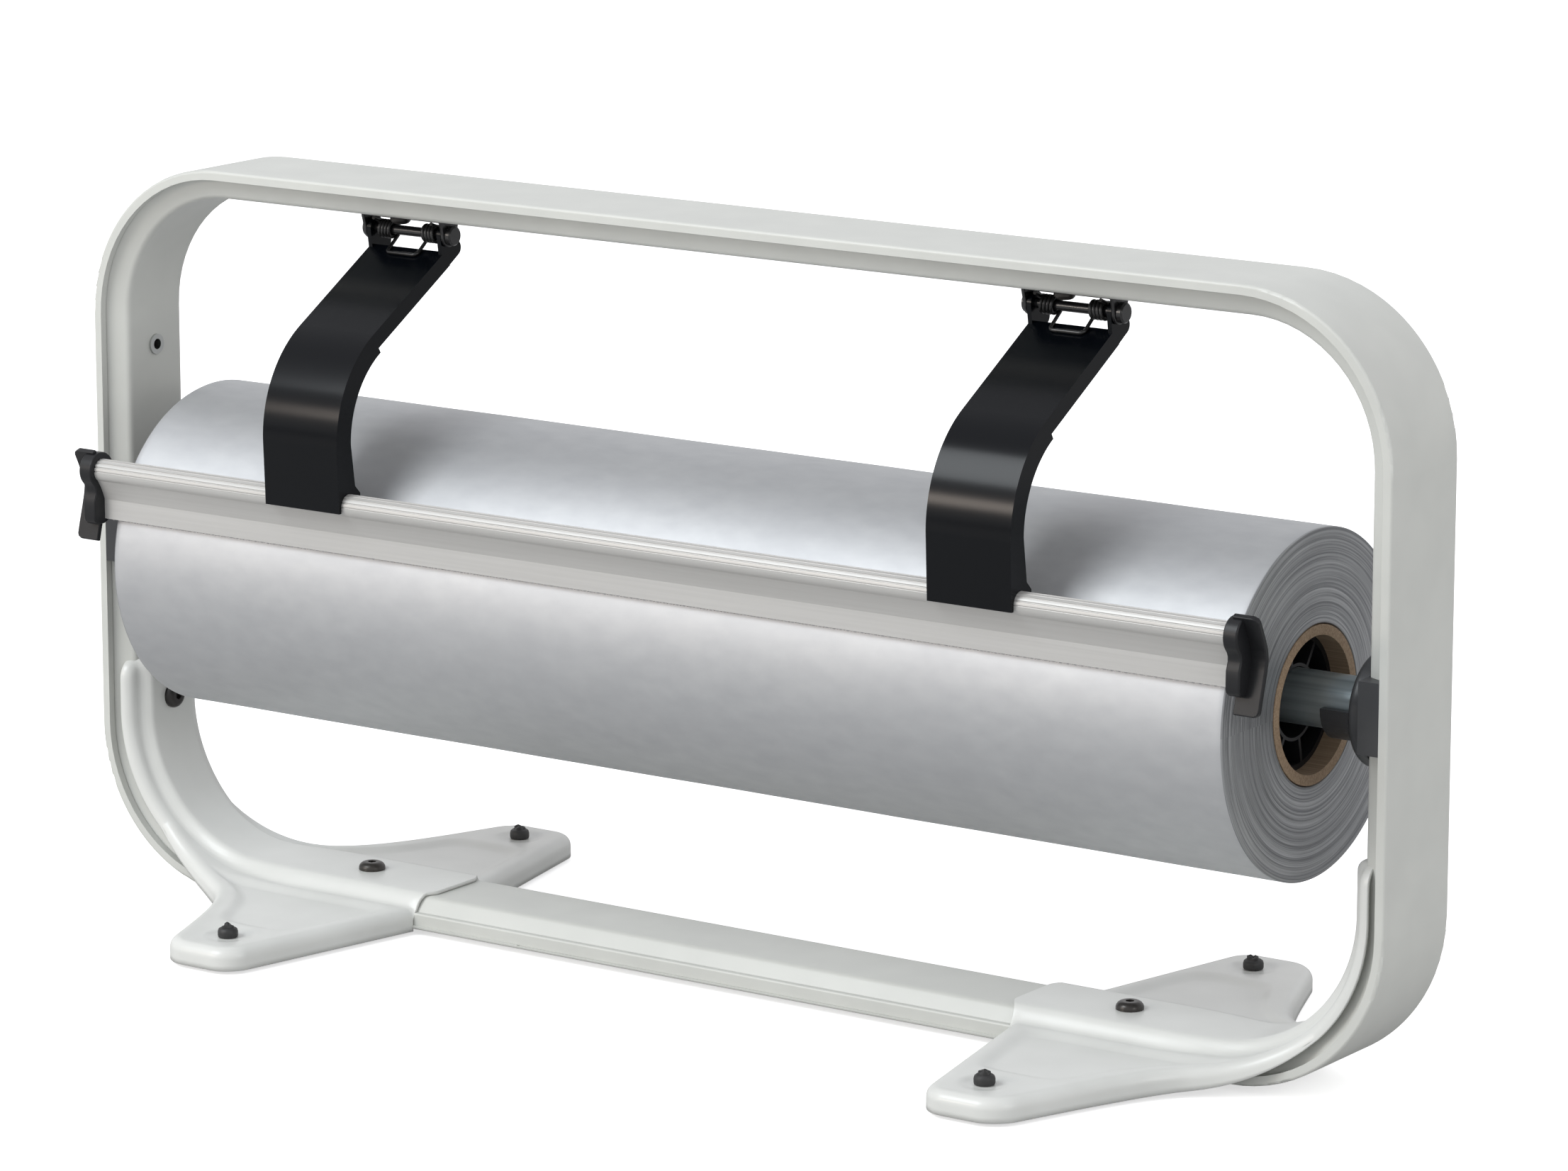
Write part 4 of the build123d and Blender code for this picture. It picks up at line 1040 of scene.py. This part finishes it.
    def build(self) -> None:
        """Builds the plate and puts it in place of its CAD node."""
        across = self.rows()
        places, index = self.lay_out(across)
        along, reach = places[:, 0], np.abs(places[:, 1])
        border = self.border(index, across)
        edge = distance_to_line(pairs(along, reach), self.outline())
        edge[border] = 0.0
        level = self.height(along, reach, edge)
        points = [self.place(along, places[:, 1], level), *self.skirt(places[border], level[border])]
        count = len(border)
        starts = (len(places), len(places) + count)
        chain = [border, *(list(range(start, start + count)) for start in starts)]
        faces = self.faces(index, chain)
        name = f"pressed_foot_{self.label}"
        obj = make_mesh(name, np.concatenate(points), faces, crease_angle=60.0)
        thicken(obj, self.sheet)
        self.dresser.piece(obj, Body.STAND, FOOT_COAT)
        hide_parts(f"foot_plate_{self.label}")


# ---------------------------------------------------------------- rubber feet
@dataclass
class RubberFeet(Part):
    """Pads under the plates, with stems pulled through and torn off above them."""

    stem_x: float = 172.0
    stem_y: float = 92.0
    plate_top: float = 9.75
    torn_rings: int = 6
    torn_ripple: float = 0.35
    torn_wave: float = 0.5
    torn_roughness: float = 0.3
    sides: int = 40
    seed: int = 7

    def profile(self) -> list[tuple[float, float]]:
        """Gives a foot's section, from the floor to the torn tip.

        Returns:
            The radius and height of each ring.
        """
        top = self.plate_top
        return [
            (0.0, 0.0), (6.0, 0.0), (8.2, 0.0), (9.1, 0.4), (9.5, 1.2), (9.3, 3.0),
            (8.9, 6.0), (8.5, 7.6), (7.5, 8.1), (3.2, 8.15), (3.0, 8.4), (3.0, top - 0.2),
            (3.7, top), (3.9, top + 0.6), (3.9, top + 2.0), (3.6, top + 3.0),
            (2.9, top + 3.5), (2.2, top + 3.6), (2.0, top + 4.5), (1.1, top + 4.8),
            (0.0, top + 4.1),
        ]

    def foot(self, x: float, y: float, tear: np.ndarray) -> list[np.ndarray]:
        """Gives the rings of one foot.

        Args:
            x: The stem's place along the rail.
            y: The stem's place across the rail.
            tear: How uneven the torn tip is at each side.

        Returns:
            The points of each ring, from the floor up.
        """
        turn = full_turn(self.sides)
        profile = self.profile()
        rings = []
        for number, (radius, height) in enumerate(profile):
            torn = smooth_step(len(profile) - self.torn_rings, len(profile) - 1, float(number))
            ripple = self.torn_ripple * np.sin(3 * turn + tear[0] * 6)
            wave = self.torn_wave * np.sin(2 * turn + tear[1] * 8)
            ring = radius * (1.0 + torn * ripple)
            lift = height + torn * (wave + self.torn_roughness * tear)
            rings.append(np.stack([x + ring * np.cos(turn), y + ring * np.sin(turn), lift], 1))
        return rings

    def build(self) -> None:
        """Builds the four feet as one piece in place of their CAD node."""
        random = np.random.default_rng(self.seed)
        quads = grid_faces(len(self.profile()), self.sides, closed=True)
        points: list[np.ndarray] = []
        faces: list[tuple[int, ...]] = []
        for x in (-self.stem_x, self.stem_x):
            for y in (-self.stem_y, self.stem_y):
                start = len(points) * self.sides
                faces += [tuple(corner + start for corner in quad) for quad in quads]
                points += self.foot(x, y, random.uniform(-0.5, 0.5, self.sides))
        obj = make_mesh("pulled_rubber_feet", np.concatenate(points), faces, crease_angle=50.0)
        self.dresser.piece(obj, Body.STAND, RUBBER)
        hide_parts("rubber_feet")


# ---------------------------------------------------------------- roll
@dataclass
class WrapRoll(Part):
    """The roll of film, its core and the adapters in the core's ends.

    The edge gives the inset and depth of each ring of its rounding. Each dent has its depth,
    how many there are round the roll and how they turn along it.
    """

    length: float = 500.0
    radius: float = 63.4
    bore: float = 28.9
    bore_step: float = 12.0
    edge: tuple[tuple[float, float], ...] = ((0.0, 0.8), (0.2, 0.35))
    skin_start: float = 3.0
    skin_steps: int = 120
    layers: int = 64
    layer_depth: float = 0.18
    layer_uneven: float = 0.14
    layer_wave: tuple[float, float] = (0.12, 23.0)
    outer_layer: float = 0.9
    inner_layer: float = 0.5
    core_depth: float = 0.9
    dents: tuple[tuple[float, int, float], ...] = (
        (0.05, 2, 0.013), (0.035, 5, -0.05), (0.02, 11, 0.11),
    )
    dent_fade: float = 8.0
    wave_draws: int = 6
    sides: int = 220
    seed: int = 11

    def end_profile(self, random: np.random.Generator) -> list[tuple[float, float]]:
        """Gives the radius and the depth below the end of each ring of layers.

        Args:
            random: The source of the layers' unevenness.

        Returns:
            Radius and depth, from the outside in.
        """
        rings = [(self.radius - inset, depth) for inset, depth in self.edge]
        width = self.radius - self.bore - self.outer_layer - self.inner_layer
        wave, turns = self.layer_wave
        for share in np.linspace(0.0, 1.0, self.layers):
            uneven = random.uniform(-self.layer_uneven, self.layer_uneven)
            depth = self.layer_depth + uneven + wave * math.sin(share * turns)
            rings.append((self.radius - self.outer_layer - share * width, depth))
        return [*rings, (self.bore, self.core_depth)]

    def profile(self, random: np.random.Generator) -> list[tuple[float, float, bool]]:
        """Gives the roll's closed section, from the bore's left end round the skin.

        Args:
            random: The source of the layers' unevenness.

        Returns:
            The place along the roll and the radius of each ring, and whether it is an end's.
        """
        half = self.length / 2
        left = [(depth - half, radius, True) for radius, depth in reversed(self.end_profile(random))]
        reach = half - self.skin_start
        skin = [(x, self.radius, False) for x in np.linspace(-reach, reach, self.skin_steps)]
        right = [(half - depth, radius, True) for radius, depth in self.end_profile(random)]
        inside = half - self.bore_step
        return [*left, *skin, *right, (inside, self.bore, True), (-inside, self.bore, True)]

    def ring(self, x: float, radius: float, waves: np.ndarray) -> np.ndarray:
        """Gives the points of one ring, with the skin's slight dents.

        Args:
            x: The ring's place along the roll.
            radius: Its radius without dents.
            waves: Where each dent starts round the roll.

        Returns:
            The points.
        """
        turn = full_turn(self.sides)
        dent = sum(
            depth * np.sin(count * turn + x * twist + wave)
            for (depth, count, twist), wave in zip(self.dents, waves)
        )
        reach = radius + dent * smooth_step(self.radius - self.dent_fade, self.radius, radius)
        up = ROLL_AXIS + reach * np.sin(turn)
        return np.stack([np.full(self.sides, x), reach * np.cos(turn), up], 1)

    def build(self) -> None:
        """Builds the roll in place of its CAD node and dresses the core and adapters."""
        random = np.random.default_rng(self.seed)
        profile = self.profile(random)
        waves = random.uniform(0.0, 2 * math.pi, self.wave_draws)
        points = np.concatenate([self.ring(x, radius, waves) for x, radius, _ in profile])
        quads = grid_faces(len(profile) + 1, self.sides, closed=True)
        faces = [tuple(corner % len(points) for corner in quad) for quad in quads]
        obj = make_mesh("film_roll", points, faces, crease_angle=50.0)
        self.dresser.piece(obj, Body.ROLL, FILM, FILM_EDGE)
        for number, polygon in enumerate(obj.data.polygons):
            row = number // self.sides
            polygon.material_index = int(profile[row][2] and profile[(row + 1) % len(profile)][2])
        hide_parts("wrap_roll")
        self.dresser.nodes(CARD, "cardboard_core")
        self.dresser.nodes(MOULDED_BLACK, "core_adapter_left", "core_adapter_right")


# ---------------------------------------------------------------- cutter
@dataclass
class Cutter(Part):
    """The bar with its blade, arms, clips and screws."""

    def build(self) -> None:
        """Dresses the cutter's nodes."""
        self.dresser.nodes(ARM_ENAMEL, "arm_left", "arm_right")
        self.dresser.nodes(ANODISED, "cutter_bar")
        self.dresser.nodes(BLADE, "serrated_blade")
        self.dresser.nodes(BRIGHT_ZINC, "bar_clips", rounding=0.2)
        self.dresser.nodes(BLACK_OXIDE, "clip_screws")


@dataclass
class EndCap(SidePart):
    """The moulded cap on one end of the bar: a boss round the bar with a finger tab behind.

    The boss's outline is measured from the middle of the bar's head. The tab's section
    gives its places across the rail and their levels, from the bottom up.
    """

    head: tuple[float, float] = (-64.2, 177.0)
    head_radius: float = 7.0
    head_arc: tuple[float, float] = (-20.0, 215.0)
    head_steps: int = 40
    boss: tuple[float, float] = (254.0, 259.8)
    boss_pad: tuple[tuple[float, float], ...] = (
        (-4.2, -5.8), (-3.6, -7.2), (-3.6, -8.8), (-4.2, -10.4), (-4.7, -12.0), (-4.8, -15.0),
        (-4.8, -18.4), (-4.4, -19.8), (-3.2, -20.8), (-2.0, -21.2), (1.0, -21.2),
        (3.0, -20.6), (4.2, -19.2), (4.6, -17.0), (4.9, -12.0), (5.8, -7.0),
    )
    tab: tuple[float, float] = (255.6, 265.8)
    tab_section: tuple[tuple[float, float], ...] = (
        (-66.3, 149.3), (-64.7, 155.5), (-63.0, 161.5), (-61.8, 166.0), (-61.4, 169.0),
        (-61.9, 172.0), (-63.4, 175.5), (-65.3, 179.5), (-67.6, 184.1),
    )
    tab_steps: tuple[int, int] = (40, 10)
    tab_sheet: float = 2.2
    tab_round: float = 2.2
    edge_round: float = 0.7

    def boss_outline(self) -> np.ndarray:
        """Gives the boss's outline: a round head, a waist and a small pad below."""
        turn = np.radians(np.linspace(*self.head_arc, self.head_steps))
        return np.concatenate([self.head_radius * pairs(np.cos(turn), np.sin(turn)), self.boss_pad])

    def build_boss(self) -> bpy.types.Object:
        """Builds the boss as one closed block.

        Returns:
            The boss.
        """
        outline = self.boss_outline()
        count = len(outline)
        points = [
            (self.side * x, self.head[0] + back, self.head[1] + up)
            for x in self.boss
            for back, up in outline
        ]
        faces = grid_faces(2, count, closed=True)
        faces += [tuple(range(count - 1, -1, -1)), tuple(range(count, 2 * count))]
        if self.side < 0:
            faces = [face[::-1] for face in faces]
        return make_mesh(f"end_cap_boss_{self.label}", np.array(points), faces)

    def build_tab(self) -> bpy.types.Object:
        """Builds the finger tab as a bent sheet that follows the bar's section.

        Returns:
            The tab.
        """
        bend_places, bend_levels = zip(*self.tab_section)
        bottom, top = bend_levels[0], bend_levels[-1]
        start, end = self.tab
        rows, columns = self.tab_steps
        levels = np.linspace(bottom, top, rows)
        front = np.interp(levels, bend_levels, bend_places)
        near_end = np.minimum(levels - bottom, top - levels)
        reach = end - corner_inset(near_end, self.tab_round)
        points = [
            (self.side * (start + share * (tip - start)), place, level)
            for level, place, tip in zip(levels, front, reach)
            for share in np.linspace(0.0, 1.0, columns)
        ]
        faces = grid_faces(rows, columns, flip=self.side < 0)
        obj = make_mesh(f"finger_tab_{self.label}", np.array(points), faces)
        thicken(obj, self.tab_sheet)
        return obj

    def build(self) -> None:
        """Builds both pieces in place of the cap's CAD node."""
        for obj in (self.build_boss(), self.build_tab()):
            round_edges(obj, self.edge_round)
            self.dresser.piece(obj, Body.CUTTER, MOULDED_BLACK)
            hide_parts(f"end_cap_{self.label}")


# ---------------------------------------------------------------- hinges
@dataclass
class Hinge(SidePart):
    """One arm's bracket, pin and spring under the top rail.

    The spring is drawn as wire: its coils and tails stay on the bracket, and its U-shaped
    leg goes with the arm.
    """

    arm_x: float = 150.0
    pin: tuple[float, float] = (-2.5, 271.7)
    wire_radius: float = 0.7
    wire_rounding: int = 5
    coil_radius: float = 3.0
    coil_turns: float = 4.4167
    coil_pitch: float = 1.5
    half: float = 7.2
    reach: float = 9.0
    drop: float = 3.91
    slope: float = 29.98
    tail_front: float = -7.5
    tail_height: float = 276.3
    tail_bend: tuple[float, float, float] = (0.0, -1.6, 0.15)
    tail_share: float = 0.35
    leg_corner: float = 1.8
    corner_steps: int = 6
    steps_per_turn: int = 28

    def direction(self) -> tuple[Vector, Vector]:
        """Gives the arm's directions.

        Returns:
            The directions along the arm and towards its underside.
        """
        turn = math.radians(self.slope)
        along = Vector((0.0, -math.cos(turn), -math.sin(turn)))
        under = Vector((0.0, math.sin(turn), -math.cos(turn)))
        return along, under

    def wire(self, name: str, paths: list[list[Vector]], body: Body) -> None:
        """Makes round wire along paths.

        Args:
            name: The piece's name.
            paths: Lists of points in millimetres.
            body: The body that it rides on.
        """
        curve = bpy.data.curves.new(name, "CURVE")
        curve.dimensions = "3D"
        curve.bevel_depth = self.wire_radius * MM
        curve.bevel_resolution = self.wire_rounding
        curve.use_fill_caps = True
        for path in paths:
            spline = curve.splines.new("POLY")
            spline.points.add(len(path) - 1)
            spline.use_smooth = True
            for point, place in zip(spline.points, path):
                point.co = (*(place * MM), 1.0)
        obj = add_object(name, curve)
        self.dresser.piece(obj, body, SPRING_WIRE)
        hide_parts(f"torsion_spring_{self.label}")

    def coil(self, end: int) -> list[Vector]:
        """Gives the points of one coil and its tail.

        Args:
            end: 1 for the coil on the right of the U, -1 for the left one.

        Returns:
            The points, from the U to the tail's tip.
        """
        _, under = self.direction()
        start_turn = math.atan2(under.z, under.y)
        middle = self.side * self.arm_x + end * self.half
        count = int(self.coil_turns * self.steps_per_turn)
        points = []
        for step in range(count + 1):
            turned = step / self.steps_per_turn
            angle = start_turn + turned * 2 * math.pi
            y = self.pin[0] + self.coil_radius * math.cos(angle)
            z = self.pin[1] + self.coil_radius * math.sin(angle)
            points.append(Vector((middle + end * turned * self.coil_pitch, y, z)))
        tip = Vector((points[-1].x, self.tail_front, self.tail_height))
        bend = points[-1] + Vector(self.tail_bend)
        return points + [bend, bend.lerp(tip, self.tail_share), tip]

    def leg_side(self, end: int) -> list[Vector]:
        """Gives the points of one side of the U.

        Args:
            end: 1 for the side on the right, -1 for the left one.

        Returns:
            The points, from the coil round the corner.
        """
        along, under = self.direction()
        base = Vector((self.side * self.arm_x + end * self.half, *self.pin))
        foot = base + along * self.reach + under * self.drop
        inward = Vector((-end, 0.0, 0.0))
        points = [base + under * self.coil_radius]
        for step in range(self.corner_steps + 1):
            turn = step / self.corner_steps * math.pi / 2
            back = along * self.leg_corner * (1 - math.sin(turn))
            points.append(foot - back + inward * self.leg_corner * (1 - math.cos(turn)))
        return points

    def build(self) -> None:
        """Dresses the bracket and pin and builds the spring."""
        self.dresser.nodes(HINGE_BLACK, f"hinge_bracket_{self.label}", rounding=0.35)
        self.dresser.nodes(HINGE_BLACK, f"hinge_pin_{self.label}")
        leg = self.leg_side(-1) + self.leg_side(1)[::-1]
        self.wire(f"spring_coils_{self.label}", [self.coil(-1), self.coil(1)], Body.STAND)
        self.wire(f"spring_leg_{self.label}", [leg], Body.CUTTER)


# ---------------------------------------------------------------- axle and fasteners
@dataclass
class AxleAndFasteners(Part):
    """The axle tube, its bearings and the stand's screws and nuts."""

    def build(self) -> None:
        """Dresses the nodes."""
        self.dresser.nodes(GALVANISED, "axle_tube")
        self.dresser.nodes(BEARING_BLACK, "bearing_left", "bearing_right", rounding=0.6)
        self.dresser.nodes(BLACK_OXIDE, "rail_bolts", "column_bolts", "bracket_screws")
        self.dresser.nodes(HINGE_BLACK, "pin_clips")
        self.dresser.nodes(BRIGHT_ZINC, "weld_nuts", "rivet_nuts")


# ---------------------------------------------------------------- studio
@dataclass(frozen=True)
class SoftBox:
    """A rectangular soft light.

    Args:
        name: The light's name.
        place: Where it hangs, in metres.
        size: Its width and height, in metres.
        power: Its power, in watts.
        colour: Its colour.
    """

    name: str
    place: tuple[float, float, float]
    size: tuple[float, float]
    power: float
    colour: Colour = (1.0, 1.0, 1.0)

    def build(self, aim: Vector) -> None:
        """Hangs the light.

        Args:
            aim: The point that it faces.
        """
        data = bpy.data.lights.new(self.name, "AREA")
        data.shape = "RECTANGLE"
        data.size, data.size_y = self.size
        data.energy = self.power
        data.color = self.colour
        obj = add_object(self.name, data)
        obj.location = self.place
        obj.rotation_euler = (aim - Vector(self.place)).to_track_quat("-Z", "Y").to_euler()


@dataclass
class Studio:
    """The floor, the lights and the camera.

    Sizes are in metres and angles in degrees, and the lens and its sensor in millimetres.
    """

    camera_place: tuple[float, float, float] = (1.3732, -1.9406, 0.6651)
    yaw: float = 34.847
    pitch: float = 12.194
    lens: float = 149.7
    sensor: float = 36.0
    floor_size: float = 30.0
    floor_steps: int = 41
    floor_rise: float = 0.02
    floor_rise_start: float = 6.0
    floor_roughness: float = 0.9
    floor_colour: Colour = (0.93, 0.93, 0.925)
    bounce_colour: Colour = (0.50, 0.50, 0.495)
    floor_glow: float = 0.62
    horizon: Colour = (0.92, 0.92, 0.92)
    zenith: Colour = (0.64, 0.64, 0.672)
    aim: tuple[float, float, float] = (0.0, 0.0, 0.15)
    lights: tuple[SoftBox, ...] = (
        SoftBox("key", (-0.95, -1.6, 1.8), (1.2, 1.0), 29.0, (0.92, 0.97, 1.0)),
        SoftBox("low_key", (-1.2, -2.0, 0.76), (0.8, 0.28), 8.5, (1.0, 0.88, 0.78)),
        SoftBox("side_fill", (2.4, -0.6, 1.1), (1.0, 1.0), 8.0),
    )

    def floor(self) -> None:
        """Makes the pale floor, a wide sheet that rises gently far behind."""
        half = self.floor_size / 2
        points = []
        for y in np.linspace(-half, half, self.floor_steps):
            rise = self.floor_rise * max(y - self.floor_rise_start, 0.0) ** 2
            points += [(x / MM, y / MM, rise / MM) for x in (-half, half)]
        obj = make_mesh("floor", np.array(points), grid_faces(self.floor_steps, 2, flip=True))
        obj.data.materials.append(self.floor_material())

    def floor_material(self) -> bpy.types.Material:
        """Makes the floor's finish, which is paler to the camera than to the object.

        Returns:
            The material.
        """
        material = bpy.data.materials.new("pale_floor")
        material.use_nodes = True
        tree = material.node_tree
        link = tree.links.new
        surface = tree.nodes["Principled BSDF"]
        surface.inputs["Roughness"].default_value = self.floor_roughness
        surface.inputs["Emission Color"].default_value = (1.0, 1.0, 1.0, 1.0)
        seen = add_node(tree, "ShaderNodeLightPath").outputs["Is Camera Ray"]
        tones = {"A": (*self.bounce_colour, 1.0), "B": (*self.floor_colour, 1.0)}
        tone = add_node(tree, "ShaderNodeMix", tones, data_type="RGBA")
        glow = add_node(tree, "ShaderNodeMath", operation="MULTIPLY")
        glow.inputs[1].default_value = self.floor_glow
        link(seen, tone.inputs["Factor"])
        link(tone.outputs["Result"], surface.inputs["Base Color"])
        link(seen, glow.inputs[0])
        link(glow.outputs[0], surface.inputs["Emission Strength"])
        return material

    def world(self) -> None:
        """Makes the room's soft light, brighter from the sides than from above."""
        world = bpy.data.worlds.new("studio")
        world.use_nodes = True
        tree = world.node_tree
        link = tree.links.new
        coordinates = add_node(tree, "ShaderNodeTexCoord")
        split = add_node(tree, "ShaderNodeSeparateXYZ")
        ramp = add_ramp(tree, (0.0, self.horizon), (1.0, self.zenith))
        path = add_node(tree, "ShaderNodeLightPath")
        seen = add_node(tree, "ShaderNodeMix", {"B": (1.0, 1.0, 1.0, 1.0)}, data_type="RGBA")
        link(coordinates.outputs["Generated"], split.inputs[0])
        link(split.outputs["Z"], ramp.inputs[0])
        link(ramp.outputs[0], seen.inputs["A"])
        link(path.outputs["Is Camera Ray"], seen.inputs["Factor"])
        link(seen.outputs["Result"], tree.nodes["Background"].inputs["Color"])
        bpy.context.scene.world = world

    def camera(self) -> None:
        """Places the camera at the photograph's view."""
        data = bpy.data.cameras.new("camera")
        data.lens = self.lens
        data.sensor_width = self.sensor
        obj = add_object("camera", data)
        yaw, pitch = math.radians(self.yaw), math.radians(self.pitch)
        level = math.cos(pitch)
        forward = Vector((-math.sin(yaw) * level, math.cos(yaw) * level, -math.sin(pitch)))
        obj.location = self.camera_place
        obj.rotation_euler = forward.to_track_quat("-Z", "Y").to_euler()
        bpy.context.scene.camera = obj

    def build(self) -> None:
        """Builds the studio."""
        self.floor()
        self.world()
        for light in self.lights:
            light.build(Vector(self.aim))
        self.camera()
        bpy.context.scene.view_settings.view_transform = "Standard"


def main() -> None:
    """Builds the paper cutter's looks, piece by piece, around the CAD frame."""
    logging.basicConfig(level=logging.INFO, format="%(name)s: %(message)s")
    dresser = Dresser(Palette(Effects()))
    FrameRing(dresser).build()
    for side in (-1, 1):
        FootPlate(dresser, side).build()
    for part in (RubberFeet, AxleAndFasteners, WrapRoll, Cutter):
        part(dresser).build()
    for side in (-1, 1):
        EndCap(dresser, side).build()
        Hinge(dresser, side).build()
    Studio().build()


if __name__ == "__main__":
    main()
